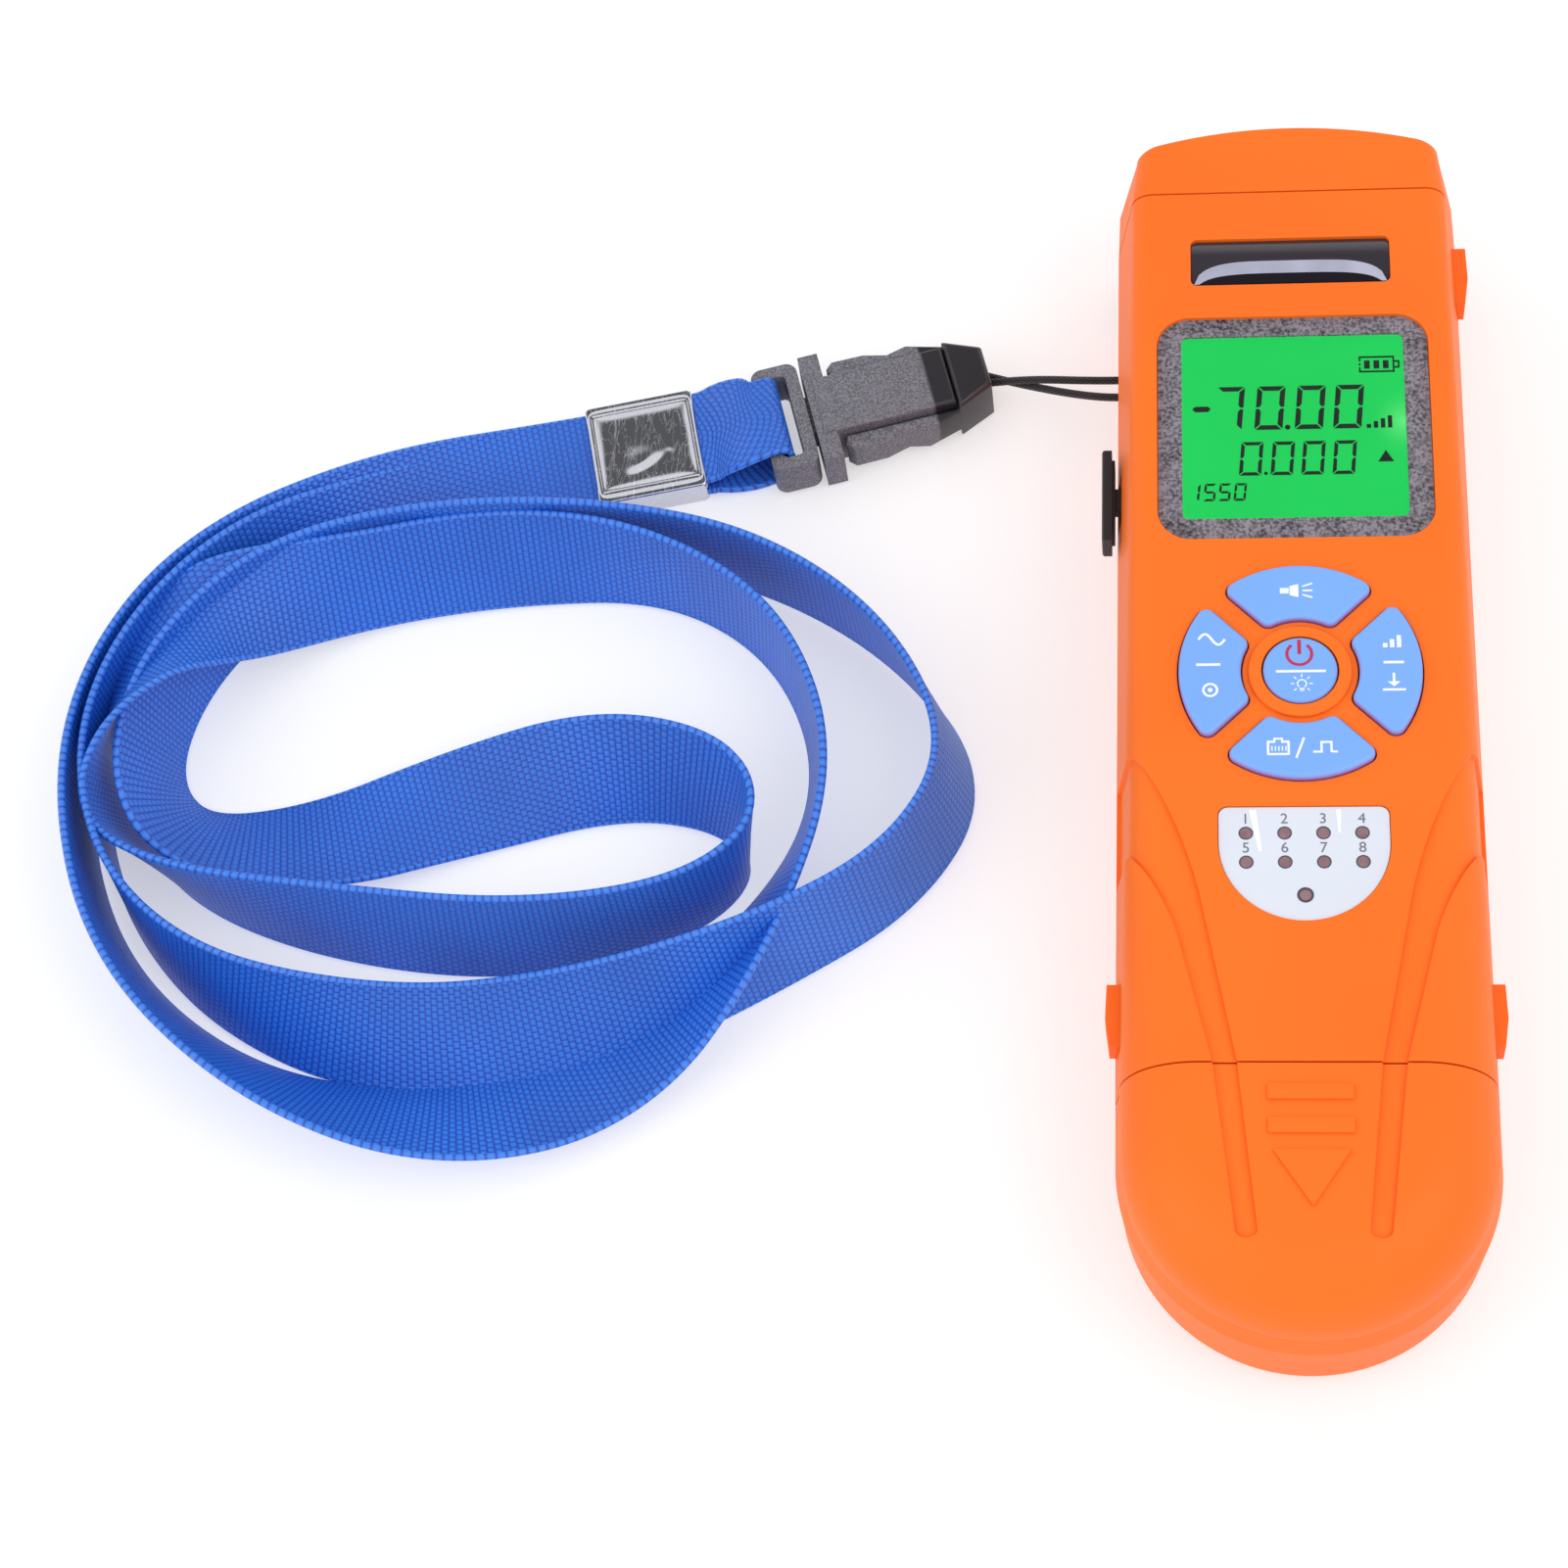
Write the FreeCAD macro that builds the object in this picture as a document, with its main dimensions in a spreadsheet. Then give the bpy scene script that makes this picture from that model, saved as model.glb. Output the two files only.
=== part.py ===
import FreeCAD, Part
import math
import os
import re
import Sketcher

# Optical power meter with a wrist lanyard, lying on its back.
# Millimetres. X to the right, Y towards the dust cap, Z out of the front face.
# The origin is the middle of the meter on the surface that it lies on.

V = FreeCAD.Vector
doc = FreeCAD.newDocument("optical_power_meter")
sheet = doc.addObject("Spreadsheet::Sheet", "Dims")
sheet_rows = []


def dim(alias, size, note):
    """Write one driving dimension into the spreadsheet."""
    row = len(sheet_rows) + 1
    sheet.set("A%d" % row, str(size))
    sheet.setAlias("A%d" % row, alias)
    sheet.set("B%d" % row, note)
    sheet_rows.append(alias)


# Housing as a whole
dim("depth", 28.0, "front face above the back face")
dim("parting", 14.0, "height of the joint between front and rear shells")
dim("wall", 2.0, "housing wall")
dim("fit_gap", 0.2, "clearance round a part that is assembled")
dim("seam_gap", 0.25, "open seam between shells that come apart")
dim("cap_seam", 72.8, "seam of the dust cap above the middle of the keys")
dim("tail_seam", -51.9, "seam of the tail unit")
dim("tail_centre", -60.3, "centre of the half-round tail")

# Cross-section of the front half at three places along the housing
dim("cap_flat", 17.9, "half the flat of the front at the cap")
dim("cap_shoulder", 20.8, "half-width where the corner ends at the cap")
dim("cap_drop", 3.0, "depth of the corner at the cap")
dim("cap_side", 22.7, "half-width at the parting line at the cap")
dim("waist_y", -6.0, "place where the corner starts to open")
dim("waist_flat", 17.0, "half the flat of the front at the waist")
dim("waist_shoulder", 21.6, "half-width where the corner ends at the waist")
dim("waist_drop", 4.6, "depth of the corner at the waist")
dim("tail_flat", 13.0, "half the flat of the front at the tail")
dim("tail_shoulder", 22.4, "half-width where the corner ends at the tail")
dim("tail_drop", 10.5, "depth of the corner at the tail")
dim("tail_side", 23.0, "half-width at the parting line at the tail")

# Cross-section of the rear half
dim("back_draft", 0.6, "how far the rear wall leans in")
dim("back_drop", 5.0, "depth of the rear corner")
dim("back_flat_inset", 5.4, "rear flat in from the widest line")

# Contour channels on the front
dim("channel_depth", 0.5, "depth of the contour channels")
dim("crease_start_x", 20.6, "inner crease where it leaves the side")
dim("crease_start_y", -10.6, "inner crease where it leaves the side")
dim("crease_knee_x", 12.2, "inner crease at its knee")
dim("crease_knee_y", -32.6, "inner crease at its knee")
dim("crease_seam_x", 8.5, "inner crease at the tail seam")
dim("crease_end_x", 6.4, "inner crease at the channel's end")
dim("crease_bend", 62.0, "bend radius of the inner crease")
dim("leaf_start_x", 21.2, "outer crease where it leaves the side")
dim("leaf_start_y", -23.7, "outer crease where it leaves the side")
dim("leaf_knee_x", 15.5, "outer crease at its knee")
dim("leaf_knee_y", -35.1, "outer crease at its knee")
dim("leaf_seam_x", 11.4, "outer crease at the tail seam")
dim("leaf_end_x", 9.0, "outer crease at the channel's end")
dim("leaf_bend", 40.0, "bend radius of the outer crease")
dim("channel_end", -73.0, "where the channels stop on the tail")

# Name window and its blank insert
dim("name_half", 13.0, "half the window's width")
dim("name_low", 58.1, "lower edge of the window")
dim("name_tall", 7.3, "height of the window")
dim("name_recess", 1.1, "depth of the window")
dim("name_radius", 0.9, "corner radius of the window")
dim("name_crown", 0.45, "crown of the insert")

# Display
dim("glass_half", 17.5, "half the lens seat's width")
dim("glass_low", 19.4, "lower edge of the lens seat")
dim("glass_tall", 33.6, "height of the lens seat")
dim("glass_radius", 4.3, "corner radius of the lens seat")
dim("glass_recess", 1.3, "depth of the lens seat")
dim("glass_thick", 0.8, "lens thickness")
dim("mask_thick", 0.4, "thickness of the dark frame")
dim("view_half", 14.3, "half the display's visible width")
dim("view_low", 22.7, "lower edge of the visible display")
dim("view_tall", 27.7, "visible height of the display")
dim("lcd_margin", 0.9, "display glass beyond its visible part")
dim("view_radius", 0.9, "corner radius of the visible display")
dim("lcd_thick", 2.4, "display glass thickness")

# Keys
dim("key_outer", 15.0, "outer radius of the key ring")
dim("key_inner", 7.3, "inner radius of the key ring")
dim("key_gap_half", 1.5, "half the bar between two arc keys")
dim("key_corner", 1.2, "corner radius of an arc key")
dim("key_proud", 0.9, "keys above the front face")
dim("key_edge", 0.6, "rounding of a key's top edge")
dim("key_clear", 0.2, "clearance round a key")
dim("key_flange", 0.6, "flange that keeps a key in")
dim("key_flange_thick", 0.8, "thickness of that flange")
dim("key_travel", 0.6, "how far a key goes down")
dim("power_radius", 4.6, "radius of the round key")
dim("lip_radius", 6.4, "outer radius of the raised ring")
dim("lip_proud", 0.6, "raised ring above the front face")
dim("post_radius", 1.5, "radius of the post under a key")
dim("key_middle", 11.0, "radius at which an arc key's post stands")

# Indicator label and lamps
dim("label_radius", 10.4, "radius of the half-round label")
dim("label_centre", -23.4, "centre of that radius")
dim("label_top", -18.45, "upper edge of the label")
dim("label_corner", 1.2, "upper corners of the label")
dim("label_recess", 0.7, "depth of the label's seat")
dim("label_thick", 0.5, "label thickness")
dim("lamp_radius", 0.75, "radius of a lamp's tip")
dim("lamp_pitch", 4.67, "spacing of the lamps along X")
dim("lamp_upper", -22.05, "upper row of lamps")
dim("lamp_lower", -25.95, "lower row of lamps")
dim("lamp_last", -30.35, "single lamp under the rows")

# Boards
dim("board_low", 18.4, "underside of the main board")
dim("board_thick", 1.6, "board thickness")
dim("board_half", 19.0, "half the main board's width")
dim("board_tail", -38.6, "lower edge of the main board")
dim("board_top", 52.4, "where the main board narrows")
dim("board_tongue_half", 9.6, "half-width of the board's tongue")
dim("tact_half", 3.0, "half the side of a tact switch")
dim("tact_tall", 2.0, "height of a tact switch")

# Ends, ports and dust cap
dim("panel_thick", 2.0, "port panel thickness")
dim("cap_length", 10.5, "dust cap beyond its seam")
dim("cap_wall", 1.6, "dust cap wall")
dim("cap_taper", 1.2, "cap's front corner moves in towards its end")
dim("cap_arch", 64.0, "radius of the cap's arched end")
dim("port_x", 13.5, "ports to each side of the middle")
dim("port_length", 3.8, "ports beyond the seam")
dim("input_z", 14.0, "height of the optical input")
dim("input_radius", 4.6, "radius of the optical input's collar")
dim("red_z", 10.6, "height of the red light port")
dim("red_radius", 3.6, "radius of the red light port")
dim("ferrule_bore", 1.26, "radius of the bores for a 2.5 mm ferrule")
dim("ferrule_depth", 8.0, "length of those bores")
dim("torch_z", 20.8, "height of the torch lamp")
dim("torch_radius", 2.5, "radius of the torch lamp")
dim("torch_length", 8.6, "length of the torch lamp's body")
dim("jack_half", 8.0, "half the network jack's width")
dim("jack_tall", 13.4, "height of the network jack")
dim("jack_long", 16.0, "length of the network jack")
dim("jack_proud", 1.0, "jack beyond the panel")
dim("plug_half", 5.9, "half the plug opening's width")
dim("plug_tall", 7.0, "height of the plug opening")
dim("plug_deep", 12.0, "depth of the plug opening")
dim("tab_half", 1.6, "half-width of the plug's latch slot")
dim("tab_tall", 2.6, "height of the plug's latch slot")

# Cap hinge
dim("hinge_y", 72.9, "hinge pin along the housing")
dim("hinge_z", 2.5, "height of the hinge pin")
dim("hinge_pin_radius", 0.8, "hinge pin radius")
dim("hinge_fit", 0.05, "running clearance on the hinge pin")
dim("knuckle_radius", 2.1, "knuckle radius")
dim("knuckle_relief", 2.6, "relief round the knuckles in the cap")
dim("shell_relief", 3.65, "relief round the hinge in the shell")
dim("knuckle_middle", 7.0, "half the cap knuckle's length")
dim("knuckle_outer", 13.0, "outer end of the shell's knuckles")
dim("knuckle_gap", 0.3, "end gap between knuckles")

# Battery bay
dim("cell_radius", 5.25, "AAA cell radius")
dim("cell_long", 44.5, "AAA cell length")
dim("cell_nub", 1.0, "AAA cell contact height")
dim("cell_pitch", 10.9, "spacing of the cells")
dim("bay_half", 16.6, "half the battery bay's width")
dim("bay_low", -37.4, "lower end of the bay")
dim("bay_long", 48.6, "length of the bay")
dim("bay_wall", 1.2, "wall of the bay")
dim("bay_roof", 13.4, "inside of the bay's roof")
dim("door_thick", 1.6, "battery door thickness")
dim("door_ledge", 1.2, "ledge that the door seats on")
dim("door_sunk", 0.1, "door's face above the surface below")
dim("door_radius", 2.0, "corner radius of the door")
dim("contact_thick", 0.4, "contact plate thickness")
dim("contact_half", 4.2, "half the side of a contact plate")

# Screws and bosses
dim("boss_radius", 2.4, "screw boss radius")
dim("screw_radius", 1.0, "screw shank radius")
dim("screw_head", 1.9, "screw head radius")
dim("screw_head_tall", 1.4, "screw head height")
dim("screw_long", 12.0, "screw length under the head")
dim("screw_seat", 6.0, "height of the screw heads' seat")
dim("screw_x", 15.4, "screws each side")
dim("screw_top_y", 56.2, "upper screws along the housing")
dim("screw_low_y", -42.6, "lower screws along the housing")

# Side controls
dim("tab_low", 14.2, "underside of a side tab")
dim("side_tab_tall", 4.0, "height of a side tab")
dim("side_tab_proud", 1.2, "side tab beyond the housing")
dim("side_tab_inner", 4.0, "side tab inside the wall's outer face")
dim("tail_tab_y", -46.0, "lower end of the tail tabs")
dim("tail_tab_long", 8.1, "length of the tail tabs")
dim("cap_tab_y", 61.2, "lower end of the cap tab")
dim("cap_tab_long", 8.7, "length of the cap tab")
dim("slide_y", 32.0, "middle of the slide switch")
dim("slide_z", 16.3, "height of the slide switch")
dim("slide_bar_long", 13.7, "length of the slide switch's bar")
dim("slide_bar_tall", 4.2, "height of that bar")
dim("slide_bar_thick", 1.3, "thickness of that bar")
dim("slide_neck_long", 11.2, "length of the neck behind the bar")
dim("slide_neck_thick", 0.4, "thickness of that neck")
dim("slide_stem_half", 1.6, "half the stem's length")
dim("slide_stem_tall", 1.8, "stem height")
dim("slide_throw", 2.0, "slide switch travel each way")
dim("slide_face", 23.1, "inner face of the neck behind the bar")
dim("slide_body_face", 19.6, "outer face of the switch under the board")

# Tail unit
dim("bulkhead", -46.9, "inside of the wall at the tail")
dim("bulkhead_thick", 1.5, "thickness of that wall")
dim("spigot_long", 3.2, "spigot of the tail in the housing")
dim("spigot_wall", 1.4, "spigot wall")
dim("tail_board_z", 5.4, "underside of the tail board")
dim("tail_board_half", 13.0, "half the tail board's width")
dim("tail_board_long", 22.0, "length of the tail board")
dim("rib_thick", 1.4, "ribs under the tail board")
dim("arrow_relief", 0.35, "relief of the arrow on the tail")
dim("arrow_half", 5.0, "half the arrow bars' width")
dim("arrow_bar", 1.9, "width of an arrow bar")
dim("arrow_step", 4.2, "spacing of the arrow bars")
dim("arrow_top", -54.9, "upper edge of the first bar")
dim("arrow_point", -70.0, "tip of the arrow")

# Lanyard
dim("pin_x", -21.0, "lanyard pin in from the left side")
dim("pin_y", 55.2, "lanyard pin along the housing")
dim("pin_radius", 0.7, "lanyard pin radius")
dim("eye_low", 5.6, "floor of the lanyard recess")
dim("eye_tall", 5.0, "height of the lanyard recess")
dim("eye_floor_x", -18.9, "inner wall of the lanyard recess")
dim("eye_half", 3.0, "half the lanyard recess's length")
dim("cord_radius", 0.55, "loop cord radius")
dim("buckle_turn", 195.0, "direction of the buckle, degrees from +X")
dim("buckle_x", -41.0, "tip of the buckle")
dim("buckle_y", 60.0, "tip of the buckle")
dim("buckle_thick", 7.6, "buckle thickness")
dim("socket_low", 5.4, "socket's plates from the buckle's tip")
dim("socket_long", 25.0, "far face of the socket's flange from the tip")
dim("plate_half", 4.6, "half the width of the socket's plates")
dim("flange_half", 8.6, "half the socket flange's width")
dim("flange_thick", 2.8, "socket flange's thickness")
dim("arm_half", 7.4, "half-width over the plug's two arms")
dim("arm_inner", 5.0, "inner side of an arm")
dim("arm_end", 21.5, "end of an arm from the tip")
dim("tip_half", 3.2, "half the plug's width at its tip")
dim("ring_long", 6.5, "length of the buckle's ring")
dim("ring_half", 8.4, "half the ring's width")
dim("ring_bar", 1.8, "bar of the ring")
dim("laid_gap", 0.1, "gap under the lanyard's pieces")
dim("strap_width", 15.0, "webbing width")
dim("strap_band", 2.0, "thickness of the gathered webbing")
dim("back_skim", 0.02, "skim that leaves the back a true plane")
dim("clasp_x", -88.4, "middle of the clasp")
dim("clasp_y", 49.9, "middle of the clasp")
dim("clasp_turn", 11.7, "direction of the clasp, degrees from +X")
dim("clasp_long", 15.2, "clasp length")
dim("clasp_half", 8.0, "half the clasp's width")
dim("clasp_wall", 0.4, "clasp metal")
dim("clasp_thick", 4.0, "clasp thickness")
dim("lead_long", 15.6, "webbing beyond the middle of the clasp, up to the ring")
doc.recompute()


def expr(text):
    """Point every plain word of a formula at its cell in the spreadsheet."""
    return re.sub(r"\b([a-z][a-z_]*)\b(?!\()", r"Dims.\1", str(text))


def size(text):
    """Work a formula of the spreadsheet's dimensions out as a number."""
    return float(sheet.evalExpression(expr(text)))


def place(item, x="0", y="0", z="0"):
    """Tie an object's position to formulas."""
    for axis, text in zip("xyz", (x, y, z)):
        item.setExpression("Placement.Base." + axis, expr(text))


def label(item, name):
    """Name a finished sub-part."""
    item.Label = name
    finished.append(item)
    return item


finished = []
PLANES = {"xy": "XY_Plane", "xz": "XZ_Plane", "yz": "YZ_Plane"}


def origin_plane(body, plane):
    """Find one of a body's own origin planes."""
    return [item for item in body.Origin.OriginFeatures if item.Role == PLANES[plane]][0]


def new_body(name):
    return doc.addObject("PartDesign::Body", name)


def new_sketch(body, plane, offset, name):
    """Start a sketch on an origin plane, moved along its normal (for xz the formula is Y)."""
    sketch = body.newObject("Sketcher::SketchObject", name)
    sketch.AttachmentSupport = [(origin_plane(body, plane), "")]
    sketch.MapMode = "FlatFace"
    text = "-(%s)" % offset if plane == "xz" else offset
    sketch.setExpression("AttachmentOffset.Base.z", expr(text))
    return sketch


def hold(sketch, kind, args, text):
    """Add one dimensional constraint and tie it to a formula."""
    number = sketch.addConstraint(Sketcher.Constraint(kind, *args, size(text)))
    sketch.setExpression("Constraints[%d]" % number, expr(text))


def arc_through(start, end, radius, bulge):
    """Arc of under half a turn from start to end; bulge is 1 to the left of the way, -1 to the right."""
    chord = end - start
    middle = (start + end) * 0.5
    left = V(-chord.y, chord.x, 0).normalize()
    rise = math.sqrt(max(radius ** 2 - (chord.Length / 2) ** 2, 0.0))
    centre = middle - left * rise * bulge
    first, last = (start, end) if bulge < 0 else (end, start)
    angles = [math.atan2(point.y - centre.y, point.x - centre.x) for point in (first, last)]
    if angles[1] < angles[0]:
        angles[1] += 2 * math.pi
    circle = Part.Circle(centre, V(0, 0, 1), radius)
    return Part.ArcOfCircle(circle, angles[0], angles[1])


def add_loop(sketch, corners):
    """Closed outline. A corner is (x, y), or (x, y, radius, bulge) where an arc leads to the next one."""
    points = [V(size(corner[0]), size(corner[1]), 0) for corner in corners]
    ends = []
    for index, corner in enumerate(corners):
        start, end = points[index], points[(index + 1) % len(corners)]
        if len(corner) == 4:
            piece = sketch.addGeometry(arc_through(start, end, size(corner[2]), corner[3]))
            ends.append((piece, 1, 2) if corner[3] < 0 else (piece, 2, 1))
        else:
            piece = sketch.addGeometry(Part.LineSegment(start, end))
            ends.append((piece, 1, 2))
    for index, corner in enumerate(corners):
        piece, first, last = ends[index]
        follower, follower_first, _ = ends[(index + 1) % len(corners)]
        sketch.addConstraint(Sketcher.Constraint("Coincident", piece, last, follower, follower_first))
        hold(sketch, "DistanceX", (-1, 1, piece, first), corner[0])
        hold(sketch, "DistanceY", (-1, 1, piece, first), corner[1])
        if len(corner) == 4:
            hold(sketch, "Radius", (piece,), corner[2])


def add_circle(sketch, x, y, radius):
    """Circle with its centre and radius tied to formulas."""
    circle = Part.Circle(V(size(x), size(y), 0), V(0, 0, 1), size(radius))
    piece = sketch.addGeometry(circle)
    hold(sketch, "DistanceX", (-1, 1, piece, 3), x)
    hold(sketch, "DistanceY", (-1, 1, piece, 3), y)
    hold(sketch, "Radius", (piece,), radius)


def rectangle(low_x, high_x, low_y, high_y):
    return [(low_x, low_y), (high_x, low_y), (high_x, high_y), (low_x, high_y)]


def rounded(low_x, high_x, low_y, high_y, radius):
    """Rectangle with four rounded corners, counter-clockwise."""
    in_x, in_y = "(%s) + (%s)", "(%s) + (%s)"
    out = "(%s) - (%s)"
    return [
        (in_x % (low_x, radius), low_y), (out % (high_x, radius), low_y, radius, -1),
        (high_x, in_y % (low_y, radius)), (high_x, out % (high_y, radius), radius, -1),
        (out % (high_x, radius), high_y), (in_x % (low_x, radius), high_y, radius, -1),
        (low_x, out % (high_y, radius)), (low_x, in_y % (low_y, radius), radius, -1)]


def pad(body, sketch, length, name, reverse=False):
    feature = body.newObject("PartDesign::Pad", name)
    feature.Profile = sketch
    feature.setExpression("Length", expr(length))
    feature.Reversed = reverse
    return feature


def slab(name, loops, low, high):
    """Body from outlines in the XY plane between two heights; a tuple stands for a circle."""
    body = new_body(name)
    sketch = new_sketch(body, "xy", low, name + "_outline")
    for loop in loops:
        if isinstance(loop, tuple):
            add_circle(sketch, *loop)
        else:
            add_loop(sketch, loop)
    pad(body, sketch, "(%s) - (%s)" % (high, low), name + "_pad")
    return body


def loft(body, sketches, name):
    feature = body.newObject("PartDesign::AdditiveLoft", name)
    feature.Profile = sketches[0]
    feature.Sections = sketches[1:]
    return feature


def box(name, x, y, z, length, width, height):
    """Box from its lowest corner."""
    item = doc.addObject("Part::Box", name)
    item.setExpression("Length", expr(length))
    item.setExpression("Width", expr(width))
    item.setExpression("Height", expr(height))
    place(item, x, y, z)
    return item


TURNS = {"x": FreeCAD.Rotation(V(0, 1, 0), 90), "y": FreeCAD.Rotation(V(1, 0, 0), -90), "z": FreeCAD.Rotation()}


def rod(name, radius, length, x, y, z, axis="z"):
    """Cylinder from the middle of its first face, along an axis."""
    item = doc.addObject("Part::Cylinder", name)
    item.setExpression("Radius", expr(radius))
    item.setExpression("Height", expr(length))
    item.Placement.Rotation = TURNS[axis]
    place(item, x, y, z)
    return item


def fuse(name, *items):
    joined = doc.addObject("Part::MultiFuse", name)
    joined.Shapes = list(items)
    joined.Refine = True
    return joined


def cut(name, base, *tools):
    """Take tools away from a base."""
    result = doc.addObject("Part::Cut", name)
    result.Base = base
    result.Tool = tools[0] if len(tools) == 1 else group(name + "_tools", *tools)
    result.Refine = True
    return result


def group(name, *items):
    """Several separate solids in one sub-part."""
    bundle = doc.addObject("Part::Compound", name)
    bundle.Links = list(items)
    return bundle


# A station is one cross-section of the housing: flat, shoulder, drop and side of its front half.
CAP_END = ("cap_flat", "cap_shoulder", "cap_drop", "cap_side")
WAIST = ("waist_flat", "waist_shoulder", "waist_drop", "(cap_side + tail_side) / 2")
TAIL_END = ("tail_flat", "tail_shoulder", "tail_drop", "tail_side")


def front_corner(station, inset):
    """Formulas of one front corner, inset evenly: flat, shoulder, its height, front height, radius, side."""
    flat, shoulder, drop, side = station
    reach = "(%s - (%s))" % (shoulder, inset)
    high = "(depth - (%s))" % inset
    fall = "max(%s - (%s); 0.4)" % (drop, inset)
    level = "min(%s; %s - 0.4)" % (flat, reach)
    radius = "((%s - %s)^2 + (%s)^2) / (2 * %s)" % (reach, level, fall, fall)
    return level, reach, "(%s - %s)" % (high, fall), high, radius, "(%s - (%s))" % (side, inset)


def rear_corner(station, inset):
    """Formulas of one rear corner: flat, shoulder, its height, back height, radius."""
    side = station[3]
    reach = "(%s - back_draft - (%s))" % (side, inset)
    fall = "max(back_drop - (%s); 0.4)" % inset
    level = "min(%s - back_flat_inset; %s - 0.4)" % (side, reach)
    radius = "((%s - %s)^2 + (%s)^2) / (2 * %s)" % (reach, level, fall, fall)
    return level, reach, "((%s) + %s)" % (inset, fall), "(%s)" % inset, radius


def front_section(station, inset, low):
    flat, reach, corner_z, high, radius, side = front_corner(station, inset)
    return [("-" + side, low), ("-" + reach, corner_z, radius, 1), ("-" + flat, high),
            (flat, high, radius, 1), (reach, corner_z), (side, low)]


def rear_section(station, inset, high):
    flat, reach, corner_z, low, radius = rear_corner(station, inset)
    side = "(%s - (%s))" % (station[3], inset)
    return [("-" + side, high), ("-" + reach, corner_z, radius, -1), ("-" + flat, low),
            (flat, low, radius, -1), (reach, corner_z), (side, high)]


def full_section(station, inset):
    """Whole outline of the housing at one station, clockwise from the left side."""
    upper = front_section(station, inset, "parting")
    flat, reach, corner_z, low, radius = rear_corner(station, inset)
    return upper + [(reach, corner_z, radius, 1), (flat, low), ("-" + flat, low, radius, 1), ("-" + reach, corner_z)]


def housing_half(name, section, inset, edge, low_y, high_y):
    """Half of the housing between two places, lofted through the stations."""
    body = new_body(name)
    sketches = []
    for step, (station, y) in enumerate(((CAP_END, high_y), (WAIST, "waist_y"), (TAIL_END, low_y))):
        sketch = new_sketch(body, "xz", y, "%s_station_%d" % (name, step))
        add_loop(sketch, section(station, inset, edge))
        sketches.append(sketch)
    loft(body, sketches, name + "_loft")
    return body


def closed_ring(name, station, inset, low_y, high_y):
    """Straight prism of the housing's whole outline."""
    body = new_body(name)
    sketch = new_sketch(body, "xz", low_y, name + "_outline")
    add_loop(sketch, full_section(station, inset))
    pad(body, sketch, "(%s) - (%s)" % (high_y, low_y), name + "_pad", reverse=True)
    return body


def mirrored(loop):
    """The same outline on the other side of the middle."""
    swapped = []
    for corner in loop:
        moved = ("-(%s)" % corner[0],) + tuple(corner[1:3])
        swapped.append(moved + ((-corner[3],) if len(corner) == 4 else ()))
    return swapped


def arc_key_outline(grow):
    """Key of the ring's upper quarter, between bars that run at 45 degrees."""
    outer, inner = "(key_outer + (%s))" % grow, "(key_inner - (%s))" % grow
    bar = "(key_gap_half - (%s))" % grow

    def corner(radius, sign):
        along = "sqrt(%s^2 - %s^2)" % (radius, bar)
        return "%s(%s - %s) / sqrt(2)" % (sign, along, bar), "(%s + %s) / sqrt(2)" % (along, bar)

    return [corner(outer, "") + (outer, -1), corner(outer, "-"), corner(inner, "-") + (inner, 1), corner(inner, "")]


def upright(edge):
    return edge.BoundBox.ZLength > 0.1 and edge.BoundBox.XLength + edge.BoundBox.YLength < 0.01


def round_off(body, radius, name, wanted):
    """Fillet the edges of a body's tip that a test picks."""
    doc.recompute()
    tip = body.Tip
    names = ["Edge%d" % (number + 1) for number, edge in enumerate(tip.Shape.Edges) if wanted(edge)]
    feature = body.newObject("PartDesign::Fillet", name)
    feature.Base = (tip, names)
    feature.setExpression("Radius", expr(radius))
    doc.recompute()


def arc_key_prism(name, grow, low, high, quarter):
    """Arc key outline with rounded corners, turned to its quarter of the ring."""
    body = slab(name, [arc_key_outline(grow)], low, high)
    round_off(body, "key_corner + (%s)" % grow, name + "_corners", upright)
    body.Placement.Rotation = FreeCAD.Rotation(V(0, 0, 1), 90 * quarter)
    return body


def soften_top(body, radius, name):
    """Round the edges at a body's highest face."""
    doc.recompute()
    top = body.Shape.BoundBox.ZMax
    round_off(body, radius, name, lambda edge: edge.BoundBox.ZMin > top - 0.01)


def label_outline(inset):
    """Half-round label with two small upper corners."""
    radius, top = "(label_radius - (%s))" % inset, "(label_top - (%s))" % inset
    return [("-" + radius, "label_centre", radius, -1), ("0", "label_centre - " + radius, radius, -1),
            (radius, "label_centre"), (radius, top + " - label_corner", "label_corner", -1),
            (radius + " - label_corner", top), ("label_corner - " + radius, top, "label_corner", -1),
            ("-" + radius, top + " - label_corner")]


LAMPS = [("%s * lamp_pitch / 2" % step, row) for row in ("lamp_upper", "lamp_lower") for step in (-3, -1, 1, 3)]
LAMPS.append(("0", "lamp_last"))
SCREWS = [(x, y) for y in ("screw_top_y", "screw_low_y") for x in ("-screw_x", "screw_x")]
QUARTERS = {"key_top": 0, "key_left": 1, "key_bottom": 2, "key_right": 3}
MIDDLES = {"key_top": ("0", "key_middle"), "key_left": ("-key_middle", "0"), "key_bottom": ("0", "-key_middle"),
           "key_right": ("key_middle", "0"), "key_power": ("0", "0")}


def channel_outline():
    """Plan of the left contour channel on the housing, out past its side and its tail end."""
    out, past = "-(tail_side + 2)", "tail_seam - 1"
    return [(out, "crease_start_y + 1.5"), ("-crease_start_x", "crease_start_y", "crease_bend", 1),
            ("-crease_knee_x", "crease_knee_y"), ("-crease_seam_x", "tail_seam"), ("-crease_seam_x", past),
            ("-leaf_seam_x", past), ("-leaf_seam_x", "tail_seam"), ("-leaf_knee_x", "leaf_knee_y", "leaf_bend", -1),
            ("-leaf_start_x", "leaf_start_y"), (out, "leaf_start_y + 0.5")]


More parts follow.
